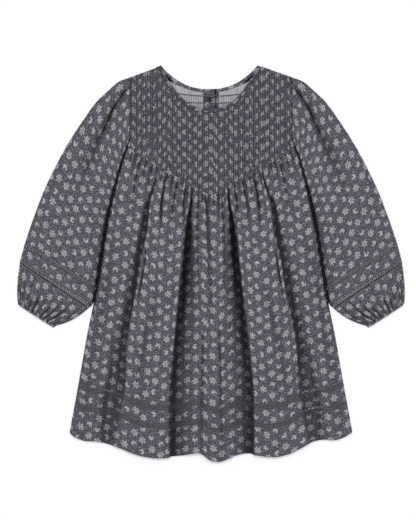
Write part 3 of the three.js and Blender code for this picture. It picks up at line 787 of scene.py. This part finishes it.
def lace_kept(along, across, edge=LACE_EDGE):
    """True where there is yarn. All in mm: across runs from 0 to the lace's width."""
    wave = np.sin(2 * math.pi * along / LACE_REPEAT)
    cord = np.abs(across - LACE / 2 - LACE_WAVE * wave) < LACE_CORD
    scallop = 0.25 * np.cos(4 * math.pi * along / LACE_REPEAT)
    firm = np.minimum(across, LACE - across) < edge + scallop
    bar = np.abs((2 * along / LACE_REPEAT + 0.5 * (across > LACE / 2)) % 1 - 0.5) < LACE_BAR
    return cord | firm | bar


def lace_relief(along, across):
    """The cord and the edges stand proud of the bars."""
    wave = np.sin(2 * math.pi * along / LACE_REPEAT)
    cord = near(across - LACE / 2 - LACE_WAVE * wave, 0.5)
    edge = near(np.minimum(across, LACE - across) - 0.6, 0.5)
    twist = 0.5 + 0.5 * np.sin(2 * math.pi * (along + across) / 1.3)
    return (0.35 * np.maximum(cord, edge) + 0.12) * (0.6 + 0.4 * twist)


def middles(grid):
    return (grid[:-1, :-1] + grid[1:, 1:]) / 2


def front_lace(name, bottom):
    count = int(2 * HEM_HALF / LACE_STEP)
    shares = np.linspace(-1, 1, count)
    across = np.linspace(LACE, 0.3, 18)[:, None] + 0 * shares
    along = shares[None, :] * HEM_HALF + 0 * across
    kept = lace_kept(middles(along), middles(across))
    front_panel(
        name, shares, lambda seam, hem: hem + bottom + across, [lace_yarn],
        kept, lace_relief(along, across),
    )


front_lace("front_lower_lace", LOWER_LACE)
front_lace("front_upper_lace", UPPER_LACE)

# %% [markdown]
# ## The smocked yoke
# Smocking draws some seventy pleats together in pairs, and the pairs change from row to row, so
# the cloth stands in a honeycomb. Each pleat swallows more than twice its width, which squeezes
# the flowers into short upright dashes. The relief is a row of ridges whose lines swing towards
# each other and dip a little where a stitch holds two together.

# %% The smocking's sizes
PLEATS = 72
PLEAT_HEIGHT = 1.2
SMOCK_ROWS = 26
SMOCK_DRAW = 0.5
PRINT_JUMP = {"across": 2.4, "along": 3.0}  # how far the print jumps from pleat to pleat
PRINT_SLANT = 0.15
YOKE_TAKES = 1.75  # mm of cloth in the print for each mm of smocking that shows
# painted shade in the smocking's valleys
VALLEY_SHADE = 0.78
YOKE_BASE = FRONT_FLOOR + CLOTH
print("pleats in mm:", round(2 * YOKE_HALF / PLEATS, 1))


def smocking(across, row, rows):
    """Relief from 0 to 1 and sideways swing in mm. across counts pleats and row counts rows."""
    pleat = np.floor(across)
    inside = across - pleat - 0.5
    pair = np.where(pleat % 2 == 0, 1, -1)
    held = np.cos(math.pi * row) * np.clip(np.minimum(row, rows - row), 0, 1)
    ridge = np.cos(math.pi * inside) ** 1.3
    stitch = np.cos(math.pi * row) ** 8
    facing = near(inside - 0.5 * np.sign(pair * held), 0.35)
    return ridge * (1 - 0.3 * stitch * facing), SMOCK_DRAW * pair * held * ridge


def yoke_points(neck, across, down, slant=SNUG / 2):
    """x and y of a yoke. across runs from -1 to 1 and down from the neck to the V-shaped seam."""
    edge_y = mix(SHOULDER_Y, seam_y(SEAM_HALF) + slant, down)
    top = yoke_top(neck, across * YOKE_HALF)
    bottom = seam_y(across * SEAM_HALF) + slant
    return across * curve(SIDE, edge_y), mix(top, bottom, down)


# %% The front yoke
yoke_across = np.linspace(-1, 1, PLEATS * 5 + 1)[None, :]
yoke_down = np.linspace(0, 1, 94)[:, None]
x, y = yoke_points(FRONT_NECK, yoke_across, yoke_down)
counted = (yoke_across + 1) / 2 * PLEATS
relief, swing = smocking(counted, yoke_down * SMOCK_ROWS, SMOCK_ROWS)
edge = np.clip(np.minimum(yoke_down, 1 - yoke_down) * 40, 0, 1) * 0.6 + 0.4
face = grid_of(x + swing, y, YOKE_BASE - 0.2 + (PLEAT_HEIGHT + 0.2) * relief * edge)
back = grid_of(x, y, FRONT_FLOOR)
jump = np.random.default_rng(12).uniform(-1, 1, (2, PLEATS + 1))[:, np.floor(counted).astype(int)]
yoke_cloth = grid_of(
    x * YOKE_TAKES + PRINT_JUMP["across"] * jump[0] + CUT_FROM["yoke"][0],
    y + PRINT_SLANT * np.abs(x) + PRINT_JUMP["along"] * jump[1] + CUT_FROM["yoke"][1],
)
# painted shade in the smocking's valleys, and a painted shadow at the armhole
painted_valley_shade = VALLEY_SHADE * (1 - relief) ** 1.5 * (0.75 + 0.25 * ripple(x + 3 * y, 14, 21))
painted_armhole_shade = painted_cleft_shadow(curve(SIDE, np.clip(y, 0, 186)) - np.abs(x), np.full_like(y, 186.0)) * (y > 120)
made = sheet("smocked_yoke", face, back, yoke_cloth, np.maximum(painted_valley_shade, painted_armhole_shade), FACE_UP)
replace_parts(made, "front_yoke")

# %% [markdown]
# ## The layers behind
# The back lies flat under the front. Its wrong side shows through the neck: pale, ribbed by the
# pleats, and crossed by the dark threads that hold them. Its right side faces the surface, so it
# stays flat there but for the shallow hollows of its own pleats and folds.

# %% The back yoke
PLACKET_HALF = 12
PLACKET_LENGTH = 88
# y at the middle, and how the line bends up to the sides
STITCH_LINES = [(251.2, 0.0016), (240.8, 0.0008)]
STITCH_LINE_WIDE = 1.05
RIB_PITCH = 3.5
PINNED_PITCH = 4.9
BACK_TAKES = 1.3  # mm of cloth in the print for each mm of the back yoke
slot_edge = PLACKET_HALF + SEAM_GAP
slot_y = BACK_NECK["lowest"] - PLACKET_LENGTH - SEAM_GAP
share = slot_edge / YOKE_HALF
half_across = np.concatenate([np.linspace(share, 0.64, 84), np.linspace(0.64, 1, 27)[1:]])
back_across = np.concatenate([-half_across[::-1], np.linspace(-share, share, 9)[1:-1], half_across])
back_down = np.concatenate([np.linspace(0, 0.42, 72), np.linspace(0.42, 1, 22)[1:]])
x, y = yoke_points(BACK_NECK, back_across[None, :], back_down[:, None])
inner = np.abs(back_across) <= share + 1e-9
centre = len(back_across) // 2
row_at_slot = int(np.argmin(np.abs(y[:, centre] - slot_y)))
y[row_at_slot, inner] = slot_y
in_slot = (np.arange(len(back_down))[:, None] <= row_at_slot) & inner[None, :]
x = np.where(in_slot, back_across[None, :] * YOKE_HALF, x)
kept = np.ones((len(back_down) - 1, len(back_across) - 1), bool)
kept[:row_at_slot, centre - 4 : centre + 4] = False
ribs = np.cos(2 * math.pi * (x + 0.4 * ripple(y, 9, 31)) / RIB_PITCH)
pinned = np.cos(2 * math.pi * x / PINNED_PITCH)
lines = sum(near(y - start - bend * x**2, STITCH_LINE_WIDE) for start, bend in STITCH_LINES)
# painted shade in the grooves between the ribs, stronger lower down
between = mix(0.4, 0.85, smooth(y, 252, 250)) * (0.7 + 0.3 * ripple(x, 19, 2))
dark = np.maximum(lines, between * ((1 - ribs) / 2) ** 2)
# darker below the second stitch line
dark = np.maximum(dark, 0.3 * smooth(y, 242, 239))
front_edge = neck_point(FRONT_NECK, np.clip((x - NECK_SHIFT) / NECK_HALF, -1, 1), 0)[1]
# painted shadow beside the front neckline's edge, where the front lies over the back
dark = np.maximum(dark, 0.7 * np.exp(-np.maximum(y - front_edge, 0) / 1.6))
face = grid_of(x, y, CLOTH - 0.18 + 0.18 * ribs - 0.3 * lines)
back = grid_of(x, y, 0.25 * (1 - pinned))
back_cloth = grid_of(x * BACK_TAKES + CUT_FROM["back_yoke"][0], y + CUT_FROM["back_yoke"][1])
# the hidden side gets a painted shade in the pleats' hollows
made = sheet(
    "back_yoke_ribbed", face, back, back_cloth, (np.clip(dark, 0, 1), 0.4 * (1 - pinned) / 2),
    FACE_DOWN, kept=kept,
)
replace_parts(made, "back_yoke")


# %% The back skirt and its bands
BACK_FOLD_DEPTH = 0.55
# painted shade in the back's folds, on its hidden side
BACK_FOLD_SHADE = 0.6


def back_hem_y(x):
    return BACK_HEM["lowest"] + BACK_HEM["rise"] * (np.abs(x) / HEM_HALF) ** BACK_HEM["power"]


def back_panel(name, rows, looks, count=171, kept_by=None):
    """A flat panel of the back. rows gives each row's y between the seam and the hem."""
    share = np.linspace(-1, 1, count)[None, :]
    y = rows(seam_y(share * SEAM_HALF) - SNUG / 2, back_hem_y(share * HEM_HALF))
    x = share * curve(SIDE, y)
    down = np.clip((seam_y(x) - y) / (seam_y(x) - back_hem_y(x)), 0, 1)
    _, painted_shade = skirt_height(-x, y, down)
    face = grid_of(x, y, CLOTH)
    back = grid_of(x, y, BACK_FOLD_DEPTH * painted_shade * (1 - share**8))
    cloth = grid_of(x + CUT_FROM["back_skirt"][0], y - back_hem_y(x) + CUT_FROM["back_skirt"][1])
    kept = None if kept_by is None else kept_by(middles(x), middles(y - back_hem_y(x)))
    # painted shade: the inner face evenly, the hidden side in its folds
    made = sheet(
        f"{name}_cloth", face, back, cloth, (INSIDE_SHADE["back"], BACK_FOLD_SHADE * painted_shade), looks,
        kept=kept,
    )
    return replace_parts(made, name)


back_rows = np.linspace(0, 1, 60)[:, None]
back_panel(
    "back_skirt", lambda seam, hem: mix(seam, hem + SKIRT_END, back_rows), FACE_DOWN
)
for name, bottom, top in (
    ("back_hem", 0, LOWER_LACE), ("back_band", BAND_START + SEAM_GAP, UPPER_LACE),
):
    heights = np.linspace(top, bottom, 8)[:, None]
    back_panel(name, lambda seam, hem: hem + heights, FACE_DOWN)
for name, bottom in (("back_lower_lace", LOWER_LACE), ("back_upper_lace", UPPER_LACE)):
    heights = np.linspace(LACE, 0.3, 14)[:, None]
    back_panel(
        name, lambda seam, hem: hem + bottom + heights, [lace_yarn], 560,
        lambda along, above: lace_kept(along, above - bottom, HIDDEN_EDGE),
    )

# %% [markdown]
# ## Neck binding, placket, tab and button
# A bias strip folds over the raw neck edge, so its print runs at 45 degrees. In front it is a soft
# roll beside the smocking. Behind, it lies flat up to the opening, which a folded placket faces and
# a short tab closes with one small button.

# %% The front binding
BINDING_PROFILE = [(0, 0.9), (0.6, 1.6), (1.5, 2.1), (2.6, 2.25), (3.8, 2.1), (4.6, 1.7), (5, 1.3)]


def bias(along, across):
    """A strip cut at 45 degrees to the cloth."""
    return grid_of(along + across, along - across) * math.sqrt(0.5) + CUT_FROM["binding"]


def run_length(x, y):
    steps = np.hypot(np.diff(x), np.diff(y))
    return np.concatenate([[0], np.cumsum(steps)])


across = np.linspace(-1, 1, 181)
out = np.array([row[0] for row in BINDING_PROFILE], float)[:, None]
lift = np.array([row[1] for row in BINDING_PROFILE], float)[:, None]
x, y = neck_point(FRONT_NECK, across[None, :], out)
pull = 0.15 * ripple(across[None, :] * 100, 7, 4) * (lift > 1.5)
face = grid_of(x, y, FRONT_FLOOR + lift + pull)
back = grid_of(x, y, FRONT_FLOOR)
along = run_length(*neck_point(FRONT_NECK, across, 0.0))[None, :] + 0 * out
# painted shade: the whole binding a little, its outer edge more
made = sheet(
    "front_neck_binding_strip", face, back, bias(along, 0 * along + out),
    0.22 + 0.35 * (out > 4.3) + 0 * along, [cotton_face],
)
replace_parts(made, "front_neck_binding")


# %% The back binding and the placket
GROOVE = {"x": 6.9, "width": 1.7}  # the groove where the opening's edges meet; a painted shadow darkens it


def flat_strip(name, x, y, top, cloth, replaced, gap, edge_drop=0.3):
    """A strip of folded cloth on the surface, its long edges a little rounded."""
    rows = x.shape[0]
    near_edge = np.abs(np.linspace(-1, 1, rows))[:, None] ** 6
    face = grid_of(x, y, top - edge_drop * near_edge)
    back = grid_of(x, y, 0)
    # painted shade darkens the rounded edges, and gap brings a painted shadow
    made = sheet(
        name, face, back, cloth, np.maximum(gap, 0.3 * near_edge + 0 * x), [cotton_face],
    )
    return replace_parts(made, replaced)


for side, start, end in (("left", -1.0, 0.0), ("right", (SEAM_GAP - NECK_SHIFT) / NECK_HALF, 1.0)):
    across = np.linspace(start, end, 61)
    out = np.linspace(0, BINDING, 9)[:, None]
    out = out * (1 + 0.6 * smooth(np.abs(across), 0.45, 0.75))
    x, y = neck_point(BACK_NECK, across[None, :], out)
    along = run_length(*neck_point(BACK_NECK, across, 0.0))[None, :] + 0 * out
    name = f"back_neck_binding_{side}"
    # a painted shadow where the strip passes under the front neckline
    gap = np.abs(x - NECK_SHIFT) / NECK_HALF
    gap = 0.97 * smooth(gap, 0.7, 0.78) * smooth(out, 3.2, 4.6)
    flat_strip(f"{name}_strip", x, y, CLOTH + 0.4, bias(along, 0 * along + out), name, gap)

x = np.linspace(-PLACKET_HALF, PLACKET_HALF, 49)[None, :] + np.zeros((60, 1))
y = mix(
    yoke_top(BACK_NECK, x), BACK_NECK["lowest"] - PLACKET_LENGTH, np.linspace(0, 1, 60)[:, None],
)
groove = near(x - GROOVE["x"], GROOVE["width"])
face = grid_of(x, y, CLOTH - 0.5 * groove)
back = grid_of(x, y, 0)
# darkened evenly, with a painted shadow in the groove
made = sheet(
    "back_placket_strip", face, back,
    grid_of(x + CUT_FROM["placket"][0], y + CUT_FROM["placket"][1]), np.maximum(0.9 * groove, 0.35),
    [cotton_face],
)
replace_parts(made, "back_placket")

# %% The tab
TAB = {"x": -1.5, "width": 19.5, "top": 262, "bottom": 249.5, "height": 1.2}
tab_half = (TAB["top"] - TAB["bottom"]) / 2
tab_middle = (TAB["top"] + TAB["bottom"]) / 2
x = TAB["x"] + np.linspace(-0.5, 0.5, 41)[None, :] * TAB["width"] + np.zeros((27, 1))
y = np.linspace(TAB["top"], TAB["bottom"], 27)[:, None] + 0 * x
rim = np.maximum(np.abs(x - TAB["x"]) / (TAB["width"] / 2), np.abs(y - tab_middle) / tab_half)
soft = 0.35 * smooth(rim, 0.85, 1)
stitched = near(rim - 0.8, 0.04)
face = grid_of(x, y, FRONT_FLOOR + TAB["height"] - soft - 0.12 * stitched)
back = grid_of(x, y, FRONT_FLOOR)
gap = near(x - GROOVE["x"], GROOVE["width"])
# painted shade: a little all over, more at the rim and along the stitching, and a painted shadow in
# the groove
shade = np.maximum(np.maximum(0.25 * stitched, 0.2), np.maximum(gap, 0.5 * smooth(rim, 0.85, 1)))
made = sheet(
    "back_neck_tab_folded", face, back, grid_of(x + CUT_FROM["tab"][0], y + CUT_FROM["tab"][1]),
    shade, [cotton_face],
)
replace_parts(made, "back_neck_tab")

# %% [markdown]
# ## The sleeves
# A bishop sleeve is a full tube, eased into the armhole and gathered hard into a narrow elastic
# casing. Lying flat it is a wide soft bag: round over the top, flat below. Rings between its outer
# and inner edge, one after another, give the tube, and the print runs along it. A long crease
# falls from the shoulder where the fullness folds over.

# %% The sleeve's sections
SLEEVE = [
    # outer x and y, inner x (None follows the skirt's side) and y, height
    (-122.3, 279.3, -122.3, 188, 4.7), (-138.5, 273, None, 181, 8), (-153.5, 260, None, 172, 11),
    (-172.5, 241.7, None, 158, 13), (-191.8, 214.8, None, 139, 14), (-209.7, 187.8, None, 119, 14),
    (-225.2, 160.8, None, 98, 14), (-239, 133.8, None, 76, 14), (-251.6, 106.8, None, 52, 14),
    (-268.7, 61.5, None, 8, 14), (-279, 31, None, -34, 14), (-281.3, 23, None, -42, 14),
    (-285.7, 6.5, None, -58.5, 13.5), (-287.3, -1.5, -186.5, -69.5, 13),
    (-290.4, -28, -204, -82.5, 12), (-291.2, -46, -221, -90.3, 10.5), (-290.4, -58.5, -233, -94, 9),
    (-289, -62.8, -236.2, -96.8, 8.5),
]
SLEEVE_SEAMS = {
    "sleeve": (0, 10), "upper_lace": (10, 11), "band": (11, 12), "lower_lace": (12, 13),
    "end": (13, 16), "cuff": (16, 17),
}
ROUNDNESS = 0.55
EDGE_HEIGHT = 0.3
REST_SHARE = 0.95
GATHER_DEPTH = 1.7
CUFF_GATHERS = 15
HEAD_CREASE = [
    (-124, 266), (-130.4, 257.7), (-143.7, 237.3), (-153.3, 216.6), (-160.7, 199.8),
    (-171.5, 179.1), (-184, 147), (-202, 108),
]

print("sleeve sections:", len(SLEEVE))


def sleeve_column(index, at):
    """One column of the table, smoothed between its sections."""
    values = [
        -float(curve(SIDE, row[3])) - SNUG if row[index] is None else row[index] for row in SLEEVE
    ]
    return curve(list(enumerate(values)), at)


def sleeve_edges(at):
    outer = np.stack([sleeve_column(0, at), sleeve_column(1, at)], -1)
    inner_y = sleeve_column(3, at)
    follows = -curve(SIDE, inner_y) - SNUG
    inner_x = np.where(at <= 12, follows, sleeve_column(2, at))
    return outer, np.stack([inner_x, inner_y], -1)


# %% A sleeve's ring of points
def cuff_gathers(turn, at):
    """Grooves that fan out from the cuff, each as long as it likes."""
    strength = smooth(at, 12.8 + 1.2 * ripple(turn, 0.5, 21), 15) * (1 - 0.6 * smooth(at, 16, 16.6))
    reach = 1 + 0.35 * ripple(turn, 0.45, 6)
    wave = np.cos(2 * CUFF_GATHERS * turn + 0.9 * ripple(turn, 0.7, 9))
    return np.clip(strength * reach, 0, 1.1), wave


CREASE_WIDE = 2.5
CREASE_HALO = (9, 6)  # its soft banks, low down and high up
CREASE_DROP = 2.6


def crease_depth(x, y):
    """How near a point is to the crease that falls from the shoulder."""
    line = sorted((py, px) for px, py in HEAD_CREASE)
    away = x - curve(line, y)
    core = smooth(y, 168, 196) * smooth(y, 268, 256) * near(away, CREASE_WIDE)
    banks = mix(*CREASE_HALO, smooth(y, 150, 215))
    halo = smooth(y, 92, 185) * smooth(y, 268, 250) * near(away, banks)
    return np.maximum(core, 0.58 * halo)


def closed(grid):
    """The grid with its first column once more at the end, so that a tube closes."""
    return np.concatenate([grid, grid[:, :1]], 1)


def sleeve_ring(at, inset, over, under):
    """Rings of points for every value of at, and the painted shade at each."""
    outer, inner = sleeve_edges(at)
    height = sleeve_column(4, at)[:, None]
    half_wide = np.linalg.norm(outer - inner, axis=1)[:, None] / 2
    turn = np.linspace(0, math.pi, over + 1)[None, :]
    share = np.concatenate([-np.cos(turn), np.linspace(REST_SHARE, -REST_SHARE, under)[None, :]], 1)
    place = (1 + share * (1 - inset / half_wide * np.abs(share) ** 8)) / 2
    xy = outer[:, None, :] + (inner - outer)[:, None, :] * place[..., None]
    strength, wave = cuff_gathers(turn, at[:, None])
    top = xy[:, : over + 1]
    crease = crease_depth(top[..., 0], top[..., 1])
    edge = EDGE_HEIGHT * height
    soft = 0.7 * ripple(turn, 0.9, 11) * smooth(at[:, None], 1, 4) * smooth(at[:, None], 14, 12)
    raised = soft + GATHER_DEPTH / 2 * strength * wave - CREASE_DROP * crease
    risen = edge + (height - inset - edge + raised) * np.sin(turn) ** ROUNDNESS
    laid = np.full((len(at), under), float(inset))
    away = (1 - share[:, : over + 1]) * half_wide
    # painted shade where the sleeve tucks against the skirt
    painted_tuck_shade = 0.4 * smooth(top[..., 1], 150, 60) * smooth(top[..., 1], -70, -20) * near(away, 10)
    painted_armhole_shade = 0.45 * smooth(top[..., 1], 180, 195) * smooth(top[..., 1], 268, 240) * near(away, 3.5)
    # painted shade along the sleeve's inner edge: the cleft's shadow, the tuck and the armhole
    seam = np.maximum(painted_cleft_shadow(away, top[..., 1]), np.maximum(painted_tuck_shade, painted_armhole_shade)) * (turn > 1.6)
    # painted shade in the shoulder's crease and in the cuff's gather grooves
    painted_shade = np.maximum(0.98 * crease, 0.9 * strength * ((1 - wave) / 2) ** 4)
    painted_shade = np.concatenate([np.maximum(painted_shade, seam), np.zeros((len(at), under))], 1)
    ring = np.concatenate([xy, np.concatenate([risen, laid], 1)[..., None]], -1)
    return closed(ring), closed(painted_shade)


# %% Where each point of a sleeve was on the flat cloth
def sleeve_cloth(ring, at, over):
    steps = np.linalg.norm(np.diff(ring, axis=1), axis=2)
    around = np.concatenate([np.zeros((len(at), 1)), np.cumsum(steps, 1)], 1)
    around = around - around[:, over // 2 : over // 2 + 1]
    full = np.linspace(0, 13, 60)
    outer, inner = sleeve_edges(full)
    widths = np.linalg.norm(outer - inner, axis=1)
    ease = np.where(
        at > 13, widths[-1] / np.maximum(np.linalg.norm(np.subtract(*sleeve_edges(at)), axis=1), 1),
        1,
    )
    every = np.linspace(0, 17, 300)
    outer, inner = sleeve_edges(every)
    middle = (outer + inner) / 2
    length = np.interp(at, every, run_length(middle[:, 0], middle[:, 1]))
    return grid_of(
        around * ease[:, None] + CUT_FROM["sleeve"][0], -length[:, None] + CUT_FROM["sleeve"][1],
    )


# %% Build both sleeves
POINTS_AROUND = {  # over the top and below; the gathers and the lace's holes need more
    "sleeve": (110, 20), "band": (110, 20), "end": (170, 20), "cuff": (170, 20), "lace": (300, 220),
}
RIGHT_PRINT = 41  # mm by which the right sleeve's print differs from a mirror image


def mirror(grid):
    return (grid * np.array([-1, 1, 1]))[:, ::-1]


def sleeve_piece(part, side):
    start, end = SLEEVE_SEAMS[part]
    lace = part.endswith("lace")
    over, under = POINTS_AROUND[part.split("_")[-1]]
    count = 18 if lace else max(3, int((end - start) * 9) + 1)
    at = np.linspace(start + (0.02 if start else 0), end, count)
    face, painted_shade = sleeve_ring(at, 0, over, under)
    back, _ = sleeve_ring(at, SHEET, over, under)
    cloth = sleeve_cloth(face, at, over)
    kept = None
    if lace:
        across = np.linspace(LACE, 0.3, count)[:, None] + 0 * cloth[..., 0]
        edge = np.where(np.arange(cloth.shape[1] - 1) > over, HIDDEN_EDGE, LACE_EDGE)
        kept = lace_kept(middles(cloth[..., 0]), middles(across), edge)
        face[..., 2] += lace_relief(cloth[..., 0], across) * (face[..., 2] > 1)
    if side == "right":
        face, back = mirror(face), mirror(back)
        painted_shade, cloth = painted_shade[:, ::-1], cloth[:, ::-1] + RIGHT_PRINT
        kept = None if kept is None else kept[:, ::-1]
    node_name = f"sleeve_{side}" if part == "sleeve" else f"sleeve_{part}_{side}"
    looks = [lace_yarn] if lace else FACE_UP
    name = f"{node_name}_cloth"
    made = sheet(
        name, face, back, cloth, (painted_shade, INSIDE_SHADE["sleeve"]), looks,
        around=True, kept=kept,
    )
    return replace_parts(made, node_name)


for side in ("left", "right"):
    for part in SLEEVE_SEAMS:
        sleeve_piece(part, side)

# %% [markdown]
# ## Button and thread
# The button is moulded resin, 6 mm across, with a raised rim and four holes, held by a cross of
# thread. The same thread runs along the front of the hem and both edges of the skirt's front
# laces: short stitches, each a small tube sunk into the cloth. A dashed texture would be lighter,
# but tubes catch the light and stay sharp up close.

# %% Stitches
STITCH = {"length": 2.6, "step": 3.4, "radius": 0.26, "sides": 5}


def stitches(name, path, length=STITCH["length"], step=STITCH["step"], radius=STITCH["radius"]):
    """Short tubes, one after another, along a path of points in mm."""
    sides = STITCH["sides"]
    gone = np.concatenate([[0], np.cumsum(np.linalg.norm(np.diff(path, axis=0), axis=1))])
    points, quads = [], []
    for start in np.arange(0.5, gone[-1] - length, step):
        at = start + length * np.array([0, 0.12, 0.5, 0.88, 1])
        line = np.stack([np.interp(at, gone, path[:, i]) for i in range(3)], 1)
        line[:, 2] += radius * np.array([-0.9, 0.1, 0.45, 0.1, -0.9])
        way = line[-1] - line[0]
        beside = np.cross([0, 0, 1], way)
        beside = beside / np.linalg.norm(beside)
        turn = np.linspace(0, 2 * math.pi, sides, endpoint=False)
        ring = np.cos(turn)[:, None] * beside + np.sin(turn)[:, None] * np.array([0, 0, 1])
        first = len(points) * 5 * sides
        points.append((line[:, None, :] + radius * ring[None]).reshape(-1, 3))
        for r in range(4):
            for k in range(sides):
                a = first + r * sides + k
                b = first + r * sides + (k + 1) % sides
                quads.append((a, b, b + sides, a + sides))
        quads.append(tuple(first + k for k in reversed(range(sides))))
        quads.append(tuple(first + 4 * sides + k for k in range(sides)))
    mesh = bpy.data.meshes.new(name)
    mesh.from_pydata((np.concatenate(points) * MM).tolist(), [], quads)
    mesh.materials.append(sewing_thread)
    mesh.polygons.foreach_set("use_smooth", np.ones(len(quads), bool))
    print(f"{name}: {len(points)} stitches")
    return put_in(name, mesh)


# %% Rows of stitches on the skirt
def front_row(name, above):
    """A row of stitches that follows the hem, so far above it."""
    shares = np.linspace(-0.985, 0.985, 400)
    x, y, down, _ = front_grid(shares[None, :], lambda seam, hem: hem + above)
    height, _ = skirt_face(x, y, down)
    return stitches(name, np.stack([x[0], y[0], height[0]], -1))


HEM_ROW = 33
SEWN_BELOW, SEWN_ABOVE = 1.2, 1.5  # from a lace's edge to its stitches
front_rows = [
    front_row("hem_stitches", HEM_ROW),
    front_row("lower_lace_stitches_below", LOWER_LACE - SEWN_BELOW),
    front_row("lower_lace_stitches_above", BAND_START + SEWN_ABOVE),
    front_row("upper_lace_stitches_below", UPPER_LACE - SEWN_BELOW),
    front_row("upper_lace_stitches_above", UPPER_LACE + LACE + SEWN_ABOVE),
]

# %% The button
button_low, button_high = (np.array(corner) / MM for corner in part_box("button"))
BUTTON = {"rim": 0.82, "dish": 0.35, "hole": 0.2, "hole_at": 0.3, "grid": 65}
grid = np.linspace(-1, 1, BUTTON["grid"])
u, v = np.meshgrid(grid, -grid)
disc_x, disc_y = u * np.sqrt(1 - v**2 / 2), v * np.sqrt(1 - u**2 / 2)
radius = (button_high - button_low)[0] / 2
middle = (button_low + button_high) / 2
away = np.hypot(disc_x, disc_y)
dish = BUTTON["dish"] * (1 - smooth(away, 0.5, BUTTON["rim"]))
top = button_high[2] - dish - 0.4 * smooth(away, 0.9, 1)
face = grid_of(middle[0] + radius * disc_x, middle[1] + radius * disc_y, top)
back = grid_of(face[..., 0], face[..., 1], button_low[2])
cell_x, cell_y = middles(disc_x), middles(disc_y)
hole_at = BUTTON["hole_at"]
hole = np.hypot(np.abs(cell_x) - hole_at, np.abs(cell_y) - hole_at) < BUTTON["hole"]
button = sheet(
    "button_with_four_holes", face, back, grid_of(disc_x, disc_y), 0 * away, [button_resin],
    kept=~hole,
)
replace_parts(button, "button")
reach = hole_at * radius
crossed = [[(-reach, -reach), (reach, reach)], [(-reach, reach), (reach, -reach)]]
for number, ends in enumerate(crossed, 1):
    path = np.array(
        [(middle[0] + a, middle[1] + b, button_high[2] - BUTTON["dish"] + 0.1) for a, b in ends]
    )
    long = float(np.linalg.norm(path[1] - path[0]))
    middle_way = (path[1] - path[0]) / 2
    line = np.linspace(path[0] - middle_way, path[1] + middle_way, 9)
    stitches(f"button_thread_{number}", line, long, 3 * long, 0.16)

# %% [markdown]
# ## What each sheet is
# For every sheet but the button, the loop below works out the size of what shows of it, measured
# on its own face, how it is held and what lies under it, and keeps none of it.

GATHERED = (
    "front_skirt", "smocked_yoke", "back_skirt", "back_yoke", "sleeve_left", "sleeve_right",
    "sleeve_end", "sleeve_cuff",
)
FOLDED = ("front_neck", "back_neck", "back_placket")
LIES_ON = {
    "smocked_yoke": "back_yoke_ribbed", "front_neck_binding_strip": "back_yoke_ribbed",
    "back_neck_tab_folded": "back_placket_strip",
}
for name, piece in pieces.items():
    if name.startswith("button"):
        continue
    width, length, area = (value * MM for value in cuts[name])
    held = "folded" if name.startswith(FOLDED) else "laid"
    held = "gathered" if name.startswith(GATHERED) else held
    under = name.replace("front_", "back_") if name.startswith("front_") else "floor"
    under = LIES_ON.get(name, under)
    area = min(area * MM, width * length)
print("sheets:", len(cuts) - 1, "pieces:", len(pieces))
